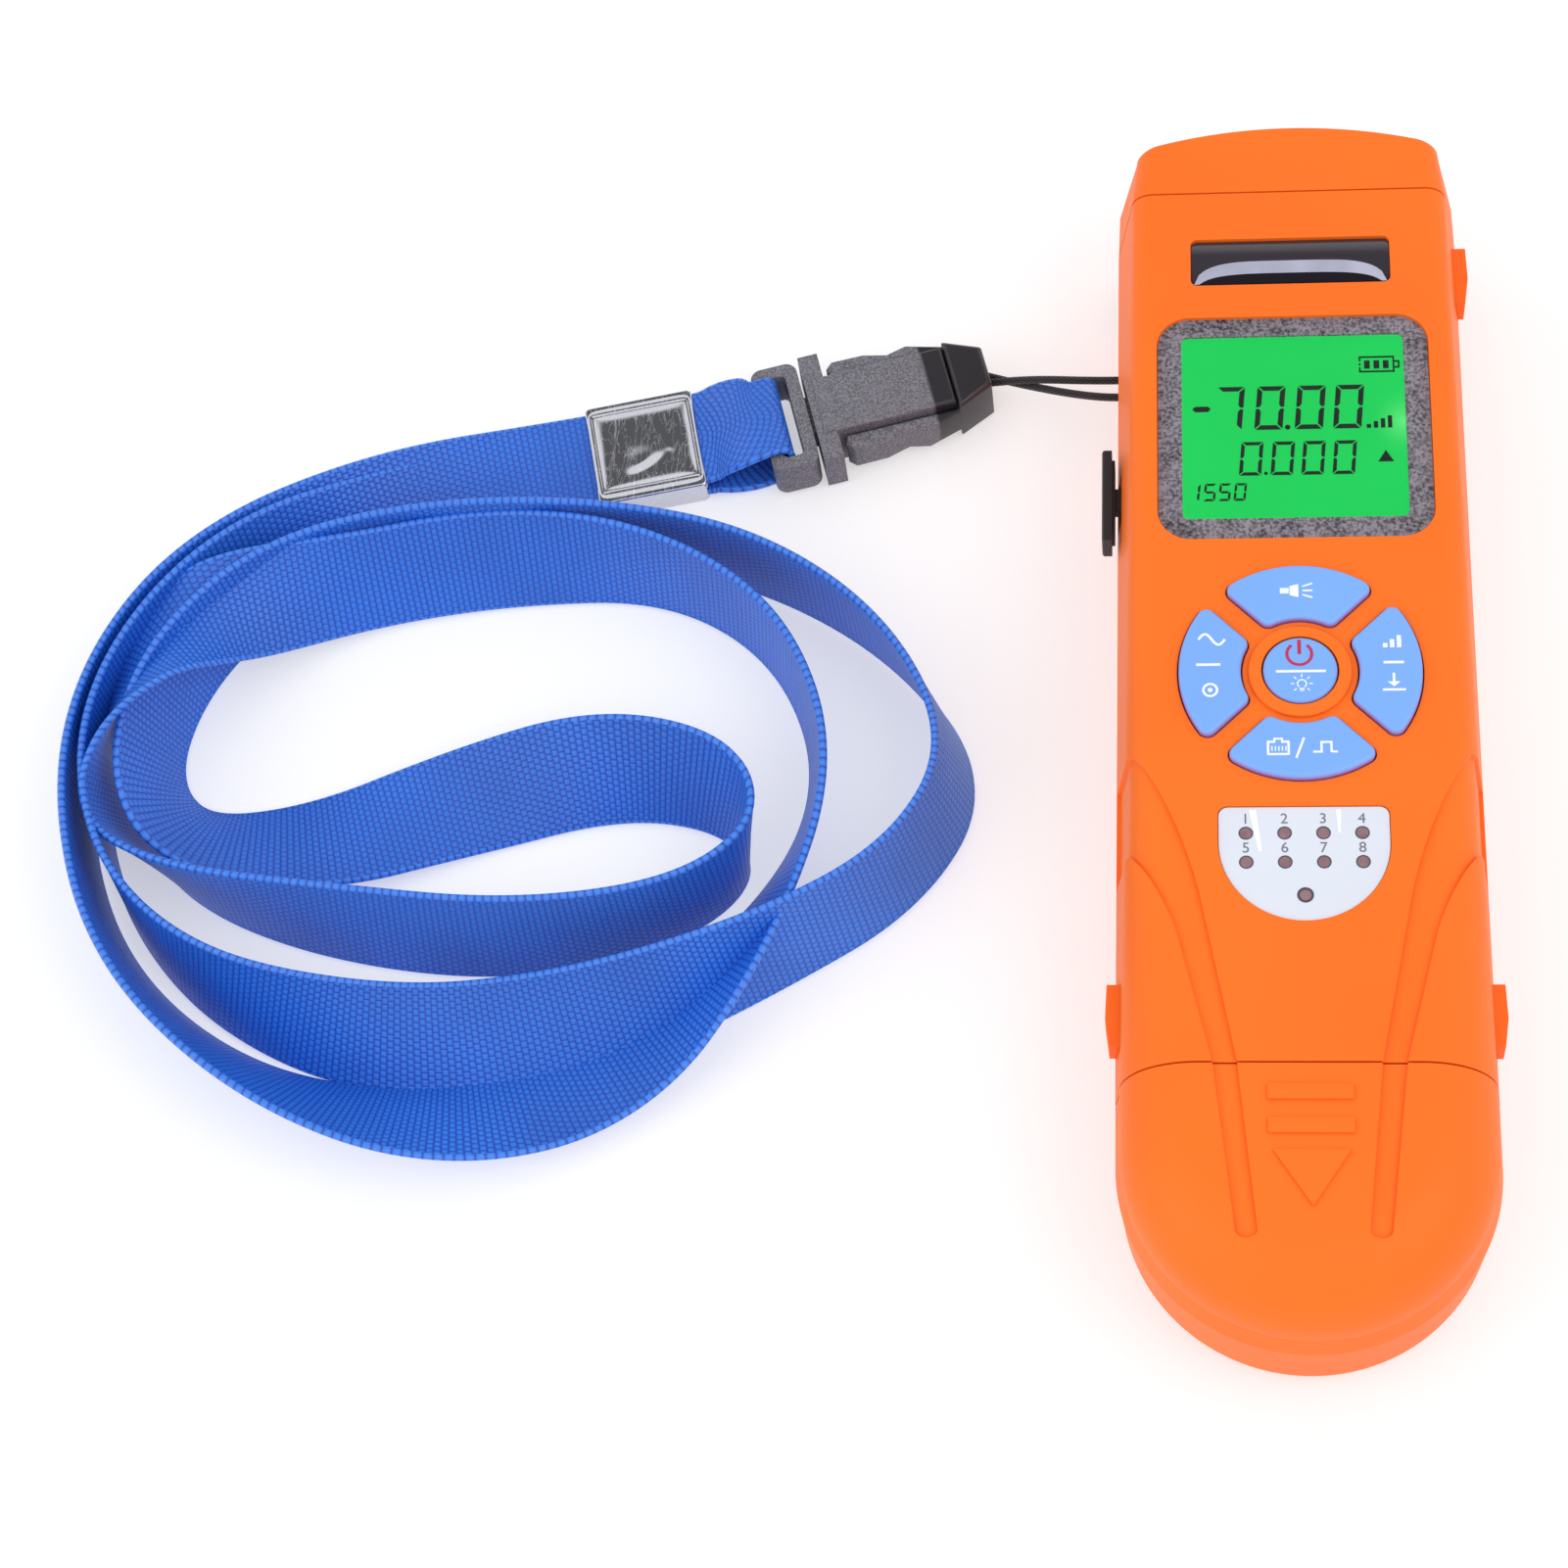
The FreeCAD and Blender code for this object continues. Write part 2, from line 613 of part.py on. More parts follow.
def tail_channel_outline():
    """Plan of the left contour channel on the tail, from past its seam to a rounded end."""
    past = "tail_seam + 1 - tail_centre"
    seam, end = "tail_seam - tail_centre", "channel_end - tail_centre"
    end_radius = "(leaf_end_x - crease_end_x) * 0.6"
    return [("-leaf_seam_x", past), ("-leaf_seam_x", seam), ("-leaf_end_x", end, end_radius, -1),
            ("-crease_end_x", end), ("-crease_seam_x", seam), ("-crease_seam_x", past)]


def sided(outline):
    return [outline, mirrored(outline)]


def side_notch(name, side, low_y, high_y, low_z, high_z):
    """Tool that cuts through one side wall; side is 1 on the right."""
    x = "tail_side - 5" if side > 0 else "-(tail_side + 2)"
    return box(name, x, low_y, low_z, "7", "(%s) - (%s)" % (high_y, low_y), "(%s) - (%s)" % (high_z, low_z))


TABS = {"cap_latch": (1, "cap_tab_y", "cap_tab_long", "cap_side"),
        "tail_latch_left": (-1, "tail_tab_y", "tail_tab_long", "tail_side"),
        "tail_latch_right": (1, "tail_tab_y", "tail_tab_long", "tail_side")}


def make_front_shell():
    outer = housing_half("front_outer", front_section, "0", "parting", "tail_seam", "cap_seam")
    sunk = housing_half("front_sunk", front_section, "channel_depth", "parting", "tail_seam", "cap_seam")
    channels = slab("front_channels", sided(channel_outline()), "parting - 1", "depth + 1")
    cavity = housing_half("front_cavity", front_section, "wall", "parting - 1", "bulkhead", "cap_seam + 1")
    socket = closed_ring("front_socket", TAIL_END, "wall", "tail_seam - 1", "bulkhead - bulkhead_thick")
    moulding = fuse("front_moulding", cut("front_trimmed", outer, channels), sunk)
    hollow = cut("front_hollow", moulding, cavity, socket)
    lip = slab("front_lip", [("0", "0", "lip_radius")], "depth - wall / 2", "depth + lip_proud")
    soften_top(lip, "lip_proud / 2", "front_lip_edge")
    bosses = [rod("front_boss_%d" % n, "boss_radius", "depth - wall / 2 - parting", x, y, "parting")
              for n, (x, y) in enumerate(SCREWS)]
    built_up = fuse("front_built_up", hollow, lip, *bosses)
    above = "depth + lip_proud + 1"
    tools = [
        slab("name_window", [rounded("-name_half", "name_half", "name_low", "name_low + name_tall", "name_radius")],
             "depth - name_recess", above),
        slab("lens_seat", [rounded("-glass_half", "glass_half", "glass_low", "glass_low + glass_tall",
                                   "glass_radius")], "depth - glass_recess", above),
        slab("display_opening", [rectangle(
            "-(view_half + lcd_margin + fit_gap)", "view_half + lcd_margin + fit_gap",
            "view_low - lcd_margin - fit_gap", "view_low + view_tall + lcd_margin + fit_gap")], "parting", above),
        slab("label_seat", [label_outline("0")], "depth - label_recess", above),
        rod("power_opening", "power_radius + key_clear", "wall + lip_proud + 2", "0", "0", "depth - wall - 1")]
    for key, quarter in QUARTERS.items():
        tools.append(arc_key_prism(key + "_opening", "key_clear", "depth - wall - 1", above, quarter))
    for n, (x, y) in enumerate(LAMPS):
        tools.append(rod("lamp_hole_%d" % n, "lamp_radius + 0.15", "wall + 2", x, y, "depth - wall - 1"))
    for n, (x, y) in enumerate(SCREWS):
        tools.append(rod("front_screw_hole_%d" % n, "screw_radius + 0.05", "screw_long", x, y, "screw_seat"))
    for name, (side, low, long, _) in TABS.items():
        tools.append(side_notch(name + "_notch", side, low + " - key_clear", "%s + %s + key_clear" % (low, long),
                                "parting - 1", "tab_low + side_tab_tall + key_clear"))
    reach = "slide_stem_half + slide_throw + fit_gap"
    tools.append(side_notch("slide_notch", -1, "slide_y - (%s)" % reach, "slide_y + %s" % reach, "parting - 1",
                            "slide_z + slide_stem_tall / 2 + fit_gap"))
    label(cut("front_shell_solid", built_up, *tools), "front_shell")


def hinge_relief(name, radius):
    return rod(name, radius, "2 * tail_side + 4", "-(tail_side + 2)", "hinge_y", "hinge_z", "x")


def make_rear_shell():
    outer = housing_half("rear_outer", rear_section, "-back_skim", "parting", "tail_seam", "cap_seam")
    cavity = housing_half("rear_cavity", rear_section, "wall", "parting + 1", "bulkhead", "cap_seam + 1")
    socket = closed_ring("rear_socket", TAIL_END, "wall", "tail_seam - 1", "bulkhead - bulkhead_thick")
    hollow = cut("rear_hollow", outer, cavity, socket)
    bay = box("bay_block", "-(bay_half + bay_wall)", "bay_low - bay_wall", "wall / 2", "2 * (bay_half + bay_wall)",
              "bay_long + 2 * bay_wall", "bay_roof + bay_wall - wall / 2")
    eye = box("eye_block", "-tail_side", "pin_y - eye_half - bay_wall", "eye_low - bay_wall",
              "tail_side + eye_floor_x + bay_wall", "2 * (eye_half + bay_wall)", "eye_tall + 2 * bay_wall")
    eye_housing = doc.addObject("Part::MultiCommon", "eye_housing")
    eye_whole = housing_half("eye_whole", rear_section, "0", "parting", "tail_seam", "cap_seam")
    eye_housing.Shapes = [eye, eye_whole]
    bosses = [rod("rear_boss_%d" % n, "boss_radius", "parting - wall / 2", x, y, "wall / 2")
              for n, (x, y) in enumerate(SCREWS)]
    stands = [rod("board_stand_%d" % n, "1.4", "board_low - bay_roof - bay_wall / 2", x, y, "bay_roof + bay_wall / 2")
              for n, (x, y) in enumerate((("-14", "bay_low + 4"), ("14", "bay_low + 4"),
                                          ("-14", "bay_low + bay_long - 4"), ("14", "bay_low + bay_long - 4")))]
    built_up = fuse("rear_built_up", hollow, bay, eye_housing, *(bosses + stands))
    tools = [
        box("back_plane", "-(tail_side + 2)", "tail_seam - 1", "-1", "2 * tail_side + 4", "cap_seam - tail_seam + 2",
            "1"),
        box("bay_space", "-bay_half", "bay_low", "-1", "2 * bay_half", "bay_long", "bay_roof + 1"),
        slab("door_seat", [rounded("-(bay_half + door_ledge)", "bay_half + door_ledge", "bay_low - door_ledge",
                                   "bay_low + bay_long + door_ledge", "door_radius")], "-1", "door_sunk + door_thick"),
        box("eye_space", "-(tail_side + 2)", "pin_y - eye_half", "eye_low", "tail_side + 2 + eye_floor_x",
            "2 * eye_half", "eye_tall"),
        hinge_relief("rear_hinge_relief", "shell_relief"),
        rod("eye_pin_hole", "pin_radius + 0.02", "eye_tall + bay_wall", "pin_x", "pin_y", "eye_low - bay_wall / 2")]
    for n, (x, y) in enumerate(SCREWS):
        tools.append(rod("head_recess_%d" % n, "screw_head + fit_gap", "screw_seat + 1", x, y, "-1"))
        tools.append(rod("rear_screw_hole_%d" % n, "screw_radius + 0.05", "parting", x, y, "wall / 2"))
    body = cut("rear_opened", built_up, *tools)
    knuckles = []
    for side, start in (("left", "-knuckle_outer"), ("right", "knuckle_middle + knuckle_gap")):
        long = "knuckle_outer - knuckle_middle - knuckle_gap"
        knuckles.append(rod("shell_knuckle_" + side, "knuckle_radius", long, start, "hinge_y", "hinge_z", "x"))
        knuckles.append(box("shell_web_" + side, start, "hinge_y - shell_relief - 3", "hinge_z", long,
                            "shell_relief + 3", "knuckle_radius"))
        knuckles.append(box("shell_web_foot_" + side, start, "hinge_y - shell_relief - 3", "wall / 2", long, "2.9",
                            "hinge_z + knuckle_radius - wall / 2"))
    pin_hole = rod("shell_pin_hole", "hinge_pin_radius + 0.02", "2 * knuckle_outer + 2", "-knuckle_outer - 1",
                   "hinge_y", "hinge_z", "x")
    label(cut("rear_shell_solid", fuse("rear_with_knuckles", body, *knuckles), pin_hole), "rear_shell")


def make_name_insert():
    plate = slab("name_blank", [rounded(
        "-(name_half - key_clear / 2)", "name_half - key_clear / 2", "name_low + key_clear / 2",
        "name_low + name_tall - key_clear / 2", "name_radius")], "depth - name_recess", "depth")
    crown_radius = "((name_tall / 2)^2 + name_crown^2) / (2 * name_crown)"
    crown = rod("name_crown_form", crown_radius, "2 * name_half + 2", "-name_half - 1", "name_low + name_tall / 2",
                "depth - 0.1 - %s" % crown_radius, "x")
    insert = doc.addObject("Part::MultiCommon", "name_insert_solid")
    insert.Shapes = [plate, crown]
    label(insert, "name_insert")


def display_plan(grow, radius):
    return rounded("-(view_half + (%s))" % grow, "view_half + (%s)" % grow, "view_low - (%s)" % grow,
                   "view_low + view_tall + (%s)" % grow, radius)


def make_display():
    seat = "depth - glass_recess"
    plan = rounded("-(glass_half - key_clear / 2)", "glass_half - key_clear / 2", "glass_low + key_clear / 2",
                   "glass_low + glass_tall - key_clear / 2", "glass_radius - key_clear / 2")
    label(slab("display_mask_solid", [plan, display_plan("0", "view_radius")], seat, seat + " + mask_thick"), "display_mask")
    lens = slab("display_lens_solid", [plan], seat + " + mask_thick", seat + " + mask_thick + glass_thick")
    soften_top(lens, "glass_thick * 0.4", "display_lens_edge")
    label(lens, "display_lens")
    top = seat + " - 0.05"
    label(slab("lcd_glass_solid", [display_plan("lcd_margin", "0.5")], top + " - lcd_thick", top), "lcd_glass")
    label(slab("backlight_solid", [display_plan("lcd_margin", "0.5")], "board_low + board_thick",
               top + " - lcd_thick - 0.05"), "backlight")


def make_keys():
    flange_top = "depth - wall - 0.1"
    flange_low = flange_top + " - key_flange_thick"
    switch_top = "board_low + board_thick + tact_tall"
    post_low = switch_top + " + key_travel + 0.05"
    post_long = "%s - (%s)" % (flange_low, post_low)
    for key, quarter in QUARTERS.items():
        cap = arc_key_prism(key + "_cap", "0", flange_top, "depth + key_proud", quarter)
        soften_top(cap, "key_edge", key + "_edge")
        flange = arc_key_prism(key + "_flange", "key_flange", flange_low, flange_top, quarter)
        x, y = MIDDLES[key]
        post = rod(key + "_post", "post_radius", post_long, x, y, post_low)
        label(fuse(key + "_solid", cap, flange, post), key)
    cap = slab("key_power_cap", [("0", "0", "power_radius")], flange_top, "depth + key_proud")
    soften_top(cap, "key_edge", "key_power_edge")
    flange = rod("key_power_flange", "power_radius + key_flange", "key_flange_thick", "0", "0", flange_low)
    post = rod("key_power_post", "post_radius", post_long, "0", "0", post_low)
    label(fuse("key_power_solid", cap, flange, post), "key_power")
    switches = [box(key + "_switch", x + " - tact_half", y + " - tact_half", "board_low + board_thick",
                    "2 * tact_half", "2 * tact_half", "tact_tall") for key, (x, y) in MIDDLES.items()]
    label(group("tact_switches_solid", *switches), "tact_switches")


def make_indicator():
    low = "depth - label_recess"
    holes = [(x, y, "lamp_radius + 0.05") for x, y in LAMPS]
    label(slab("indicator_label_solid", [label_outline("key_clear / 2")] + holes, low, low + " + label_thick"),
          "indicator_label")
    lamps = []
    for n, (x, y) in enumerate(LAMPS):
        start = "board_low + board_thick"
        tip = rod("lamp_tip_%d" % n, "lamp_radius", low + " + label_thick - (%s)" % start, x, y, start)
        base = rod("lamp_base_%d" % n, "2 * lamp_radius", "depth - wall - 0.8 - (%s)" % start, x, y, start)
        lamps.append(fuse("lamp_%d" % n, tip, base))
    label(group("indicator_lamps_solid", *lamps), "indicator_lamps")


def make_boards():
    end = "cap_seam - panel_thick - 0.3"
    plan = [("-board_half", "board_tail"), ("board_half", "board_tail"), ("board_half", "board_top"),
            ("board_tongue_half", "board_top"), ("board_tongue_half", end), ("-board_tongue_half", end),
            ("-board_tongue_half", "board_top"), ("-board_half", "board_top")]
    label(slab("main_board_solid", [plan], "board_low", "board_low + board_thick"), "main_board")
    label(slab("tail_board_solid", [rectangle(
        "-tail_board_half", "tail_board_half", "tail_seam - 1.1 - tail_board_long", "tail_seam - 1.1")],
        "tail_board_z", "tail_board_z + board_thick"), "tail_board")


def network_jack(name, mouth, floor):
    """Eight-way jack with its mouth towards +Y."""
    block = box(name + "_block", "-jack_half", mouth + " - jack_long", floor, "2 * jack_half", "jack_long",
                "jack_tall")
    opening = box(name + "_opening", "-plug_half", mouth + " - plug_deep", floor + " + jack_tall - 1.5 - plug_tall",
                  "2 * plug_half", "plug_deep + 1", "plug_tall")
    latch = box(name + "_latch_slot", "-tab_half", mouth + " - plug_deep * 0.7",
                floor + " + jack_tall - 1.5 - plug_tall - tab_tall", "2 * tab_half", "plug_deep * 0.7 + 1",
                "tab_tall + 1")
    label(cut(name + "_solid", block, opening, latch), name)


def port(name, radius, x, z, inner_length):
    """Turned collar with a flange against the panel and a bore for a ferrule."""
    collar = rod(name + "_collar", radius, "port_length + panel_thick + (%s)" % inner_length, x,
                 "cap_seam - panel_thick - (%s)" % inner_length, z, "y")
    flange = rod(name + "_flange", radius + " + 0.9", "1", x, "cap_seam", z, "y")
    bore = rod(name + "_bore", "ferrule_bore", "ferrule_depth + 1", x, "cap_seam + port_length - ferrule_depth", z,
               "y")
    return cut(name + "_solid", fuse(name + "_turned", collar, flange), bore)


def make_ports():
    panel = closed_ring("panel_plate", CAP_END, "wall + fit_gap", "cap_seam - panel_thick", "cap_seam")
    past, through = "cap_seam - panel_thick - 1", "panel_thick + 2"
    jack_low = "board_low - jack_tall"
    tools = [
        rod("input_opening", "input_radius + 0.05", through, "-port_x", past, "input_z", "y"),
        rod("red_opening", "red_radius + 0.05", through, "port_x", past, "red_z", "y"),
        rod("torch_opening", "torch_radius + 0.05", through, "port_x", past, "torch_z", "y"),
        box("jack_opening", "-(jack_half + key_clear)", past, jack_low + " - key_clear",
            "2 * (jack_half + key_clear)", through, "jack_tall + board_thick + 2 * key_clear"),
        hinge_relief("panel_hinge_relief", "shell_relief")]
    label(cut("port_panel_solid", panel, *tools), "port_panel")
    label(port("optical_port", "input_radius", "-port_x", "input_z", "6"), "optical_port")
    label(port("red_light_port", "red_radius", "port_x", "red_z", "3"), "red_light_port")
    label(rod("laser_module_solid", "red_radius - 0.4", "7.6", "port_x", "cap_seam - panel_thick - 10.7", "red_z",
              "y"), "laser_module")
    lamp = rod("torch_body", "torch_radius", "torch_length - torch_radius", "port_x",
               "cap_seam + port_length / 2 - torch_length", "torch_z", "y")
    dome = doc.addObject("Part::Sphere", "torch_dome")
    dome.setExpression("Radius", expr("torch_radius"))
    place(dome, "port_x", "cap_seam + port_length / 2 - torch_radius", "torch_z")
    label(fuse("torch_lamp_solid", lamp, dome), "torch_lamp")
    network_jack("network_jack", "cap_seam + jack_proud", jack_low)


def cap_loft(name, inset, low_y, high_y):
    """Tapered form of the dust cap."""
    narrow = ("(cap_flat - cap_taper)", "(cap_shoulder - cap_taper)", "cap_drop", "(cap_side - 0.3)")
    body = new_body(name)
    sketches = []
    for station, y in ((CAP_END, low_y), (narrow, high_y)):
        sketch = new_sketch(body, "xz", y, "%s_station_%d" % (name, len(sketches)))
        add_loop(sketch, full_section(station, inset))
        sketches.append(sketch)
    loft(body, sketches, name + "_loft").Ruled = True
    end = "cap_seam + cap_length - (%s)" % inset
    arch = rod(name + "_arch", "cap_arch", "depth + 2", "0", "%s - cap_arch" % end, "-1")
    arched = doc.addObject("Part::MultiCommon", name + "_arched")
    arched.Shapes = [body, arch]
    return arched


def make_cap():
    outer = cap_loft("cap_outer", "0", "cap_seam + seam_gap", "cap_seam + cap_length + 1")
    inner = cap_loft("cap_inner", "cap_wall", "cap_seam - 1", "cap_seam + cap_length + 1")
    cup = cut("cap_cup", outer, inner, hinge_relief("cap_hinge_relief", "knuckle_relief"))
    knuckle = rod("cap_knuckle", "knuckle_radius", "2 * knuckle_middle", "-knuckle_middle", "hinge_y", "hinge_z", "x")
    web = box("cap_web", "-knuckle_middle", "hinge_y", "hinge_z - knuckle_radius + 0.2", "2 * knuckle_middle",
              "knuckle_relief + 1.2", "knuckle_radius")
    hole = rod("cap_pin_hole", "hinge_pin_radius + hinge_fit", "2 * knuckle_middle + 2", "-knuckle_middle - 1",
               "hinge_y", "hinge_z", "x")
    label(cut("dust_cap_solid", fuse("cap_with_knuckle", cup, knuckle, web), hole), "dust_cap")
    label(rod("hinge_pin_solid", "hinge_pin_radius", "2 * knuckle_outer", "-knuckle_outer", "hinge_y", "hinge_z",
              "x"), "hinge_pin")


def make_batteries():
    floor = "door_sunk + door_thick + 0.1"
    middle = floor + " + cell_radius"
    contacts = []
    for number, step in enumerate((-1, 0, 1)):
        x = "%d * cell_pitch" % step
        plain_end_low = number != 1
        spring_y = "bay_low + contact_thick" if plain_end_low else "bay_low + bay_long - contact_thick"
        cell_y = "bay_low + bay_long - contact_thick - 0.1" if plain_end_low else "bay_low + contact_thick + 0.1"
        way = "-" if plain_end_low else "+"
        can_y = "%s - cell_long" % cell_y if plain_end_low else cell_y + " + cell_nub"
        nub_y = "%s - cell_nub" % cell_y if plain_end_low else cell_y
        can = rod("cell_can_%d" % number, "cell_radius", "cell_long - cell_nub", x, can_y, middle, "y")
        nub = rod("cell_nub_%d" % number, "cell_radius / 2", "cell_nub", x, nub_y, middle, "y")
        label(fuse("cell_%d_solid" % number, can, nub), "cell_%d" % (number + 1))
        for end, y in (("low", "bay_low"), ("high", "bay_low + bay_long - contact_thick")):
            contacts.append(box("contact_%s_%d" % (end, number), x + " - contact_half", y, middle + " - contact_half",
                                "2 * contact_half", "contact_thick", "2 * contact_half"))
        spring = doc.addObject("Part::Cone", "contact_spring_%d" % number)
        spring.setExpression("Height", expr("max(bay_long - 2 * contact_thick - cell_long - 0.2; 1)"))
        spring.setExpression("Radius1", expr("cell_radius * 0.75"))
        spring.setExpression("Radius2", expr("cell_radius * 0.45"))
        spring.Placement.Rotation = FreeCAD.Rotation(V(1, 0, 0), 90 if way == "+" else -90)
        place(spring, x, spring_y, middle)
        contacts.append(spring)
    label(group("battery_contacts_solid", *contacts), "battery_contacts")
    half = "(bay_half + door_ledge - fit_gap)"
    plate = slab("door_plate", [rounded("-" + half, half, "bay_low - door_ledge + fit_gap",
                                        "bay_low + bay_long + door_ledge - fit_gap", "door_radius - fit_gap")],
                 "door_sunk", "door_sunk + door_thick")
    grips = [box("door_grip_%d" % step, "-6", "bay_low + 3 + %d * 1.6" % step, "door_sunk - 0.5", "12", "0.8", "1")
             for step in range(4)]
    label(cut("battery_door_solid", plate, *grips), "battery_door")


def make_screws():
    screws = []
    for n, (x, y) in enumerate(SCREWS):
        head = rod("screw_head_%d" % n, "screw_head", "screw_head_tall", x, y, "screw_seat - screw_head_tall")
        shank = rod("screw_shank_%d" % n, "screw_radius", "screw_long - 0.5", x, y, "screw_seat")
        slot = box("screw_slot_%d" % n, x + " - screw_head * 0.7", y + " - 0.25", "screw_seat - screw_head_tall - 0.5",
                   "screw_head * 1.4", "0.5", "1")
        cross = box("screw_cross_%d" % n, x + " - 0.25", y + " - screw_head * 0.7",
                    "screw_seat - screw_head_tall - 0.5", "0.5", "screw_head * 1.4", "1")
        screws.append(cut("screw_%d" % n, fuse("screw_blank_%d" % n, head, shank), slot, cross))
    label(group("housing_screws_solid", *screws), "housing_screws")


def make_side_controls():
    for name, (side, low, long, face) in TABS.items():
        out = "(%s + side_tab_proud)" % face
        foot = "(%s - side_tab_inner)" % face
        kink = "%s + %s * 0.45" % (low, long)
        plan = [(foot, low), ("%s - side_tab_proud * 0.4" % out, low), (out, kink),
                ("%s - side_tab_proud * 0.15" % out, "%s + %s" % (low, long)), (foot, "%s + %s" % (low, long))]
        if side < 0:
            plan = mirrored(plan)
        tab = slab(name + "_cap", [plan], "tab_low", "tab_low + side_tab_tall")
        flange_x = foot if side > 0 else "-(%s + 0.8)" % foot
        flange = box(name + "_flange", flange_x, low + " - 0.7", "tab_low", "0.8", long + " + 1.4", "side_tab_tall")
        label(fuse(name + "_solid", tab, flange), name)
    face = "slide_face"
    neck_out = face + " + slide_neck_thick"
    bar = box("slide_bar", "-(%s + slide_bar_thick)" % neck_out, "slide_y - slide_bar_long / 2",
              "slide_z - slide_bar_tall / 2", "slide_bar_thick", "slide_bar_long", "slide_bar_tall")
    soft = doc.addObject("Part::Fillet", "slide_bar_soft")
    doc.recompute()
    soft.Base = bar
    outside = bar.Shape.BoundBox.XMin + 0.01
    soft.Edges = [(n + 1, 0.35, 0.35) for n, edge in enumerate(bar.Shape.Edges) if edge.BoundBox.XMax < outside]
    neck = box("slide_neck", "-(%s)" % neck_out, "slide_y - slide_neck_long / 2", "slide_z - slide_bar_tall / 2 + 0.5",
               "slide_neck_thick", "slide_neck_long", "slide_bar_tall - 1")
    stem = box("slide_stem", "-" + face, "slide_y - slide_stem_half", "slide_z - slide_stem_tall / 2",
               face + " - slide_body_face - 0.1", "2 * slide_stem_half", "slide_stem_tall")
    label(fuse("slide_knob_solid", soft, neck, stem), "slide_knob")
    label(box("slide_switch_solid", "-slide_body_face", "slide_y - 6", "board_low - 4", "6", "12", "4"),
          "slide_switch")


def tail_half(name, inset, section, front, past):
    """Half of the tail unit about its own centre: half a turn of its profile and a straight lead."""
    body = new_body(name)
    if front:
        flat, reach, corner_z, high, radius, side = front_corner(TAIL_END, inset)
        level, bulge = high, 1
    else:
        flat, reach, corner_z, level, radius = rear_corner(TAIL_END, inset)
        side, bulge = "(tail_side - (%s))" % inset, -1
    profile = new_sketch(body, "yz", "0", name + "_profile")
    add_loop(profile, [("0", past), ("-" + side, past), ("-" + reach, corner_z, radius, bulge), ("-" + flat, level),
                       ("0", level)])
    turn = body.newObject("PartDesign::Revolution", name + "_turn")
    turn.Profile = profile
    turn.ReferenceAxis = (profile, ["V_Axis"])
    turn.Angle = 180
    turn.Midplane = True
    sketch = new_sketch(body, "xz", "0", name + "_lead")
    add_loop(sketch, section(TAIL_END, inset, past))
    extra = "seam_gap" if inset in ("0", "channel_depth") else "-1"
    pad(body, sketch, "tail_seam - tail_centre - (%s)" % extra, name + "_lead_pad", reverse=True)
    place(body, y="tail_centre")
    return body


def spigot_half(name, section, past):
    """Collar in the tail and the spigot that enters the housing, one half."""
    pieces = []
    for part, outset, low, high in (("collar", "wall / 2", "tail_seam - 3", "tail_seam - seam_gap"),
                                    ("spigot", "wall + fit_gap", "tail_seam - 3", "tail_seam + spigot_long")):
        body = new_body("%s_%s" % (name, part))
        sketch = new_sketch(body, "xz", low, "%s_%s_outline" % (name, part))
        add_loop(sketch, section(TAIL_END, outset, "parting"))
        pad(body, sketch, "(%s) - (%s)" % (high, low), "%s_%s_pad" % (name, part), reverse=True)
        pieces.append(body)
    hole = new_body(name + "_hole")
    sketch = new_sketch(hole, "xz", "tail_seam - 4", name + "_hole_outline")
    add_loop(sketch, section(TAIL_END, "wall + fit_gap + spigot_wall", past))
    pad(hole, sketch, "spigot_long + 6", name + "_hole_pad", reverse=True)
    return cut(name, fuse(name + "_blank", *pieces), hole)


def make_tail():
    outer = tail_half("tail_front_outer", "0", front_section, True, "parting")
    sunk = tail_half("tail_front_sunk", "channel_depth", front_section, True, "parting")
    cavity = tail_half("tail_front_cavity", "wall", front_section, True, "parting - 1")
    channels = slab("tail_channels", sided(tail_channel_outline()), "parting - 1", "depth + 1")
    place(channels, y="tail_centre")
    lead_trim = fuse("tail_front_moulding", cut("tail_front_trimmed", outer, channels), sunk)
    arrow = [box("arrow_bar_%d" % n, "-arrow_half", "arrow_top - arrow_bar - %d * arrow_step" % n,
                 "depth - wall / 2", "2 * arrow_half", "arrow_bar", "wall / 2 + arrow_relief") for n in range(2)]
    point_top = "arrow_top - 2 * arrow_step + 0.2"
    arrow.append(slab("arrow_head", [[("-arrow_half * 0.9", point_top), ("0", "arrow_point"),
                                      ("arrow_half * 0.9", point_top)]], "depth - wall / 2", "depth + arrow_relief"))
    hollow = cut("tail_front_hollow", lead_trim, cavity)
    label(fuse("tail_front_solid", hollow, spigot_half("front_spigot", front_section, "parting - 1"), *arrow),
          "tail_front_shell")
    rear = cut("tail_rear_hollow", tail_half("tail_rear_outer", "0", rear_section, False, "parting"),
               tail_half("tail_rear_cavity", "wall", rear_section, False, "parting + 1"))
    ribs = [box("tail_rib_%d" % n, "-tail_board_half * 0.8", y, "wall / 2", "tail_board_half * 1.6", "rib_thick",
                "tail_board_z - wall / 2")
            for n, y in enumerate(("tail_seam - 6", "tail_seam - tail_board_long + 1"))]
    label(fuse("tail_rear_solid", rear, spigot_half("rear_spigot", rear_section, "parting + 1"), *ribs),
          "tail_rear_shell")
    network_jack("remote_jack", "tail_seam - 0.6", "tail_board_z + board_thick")


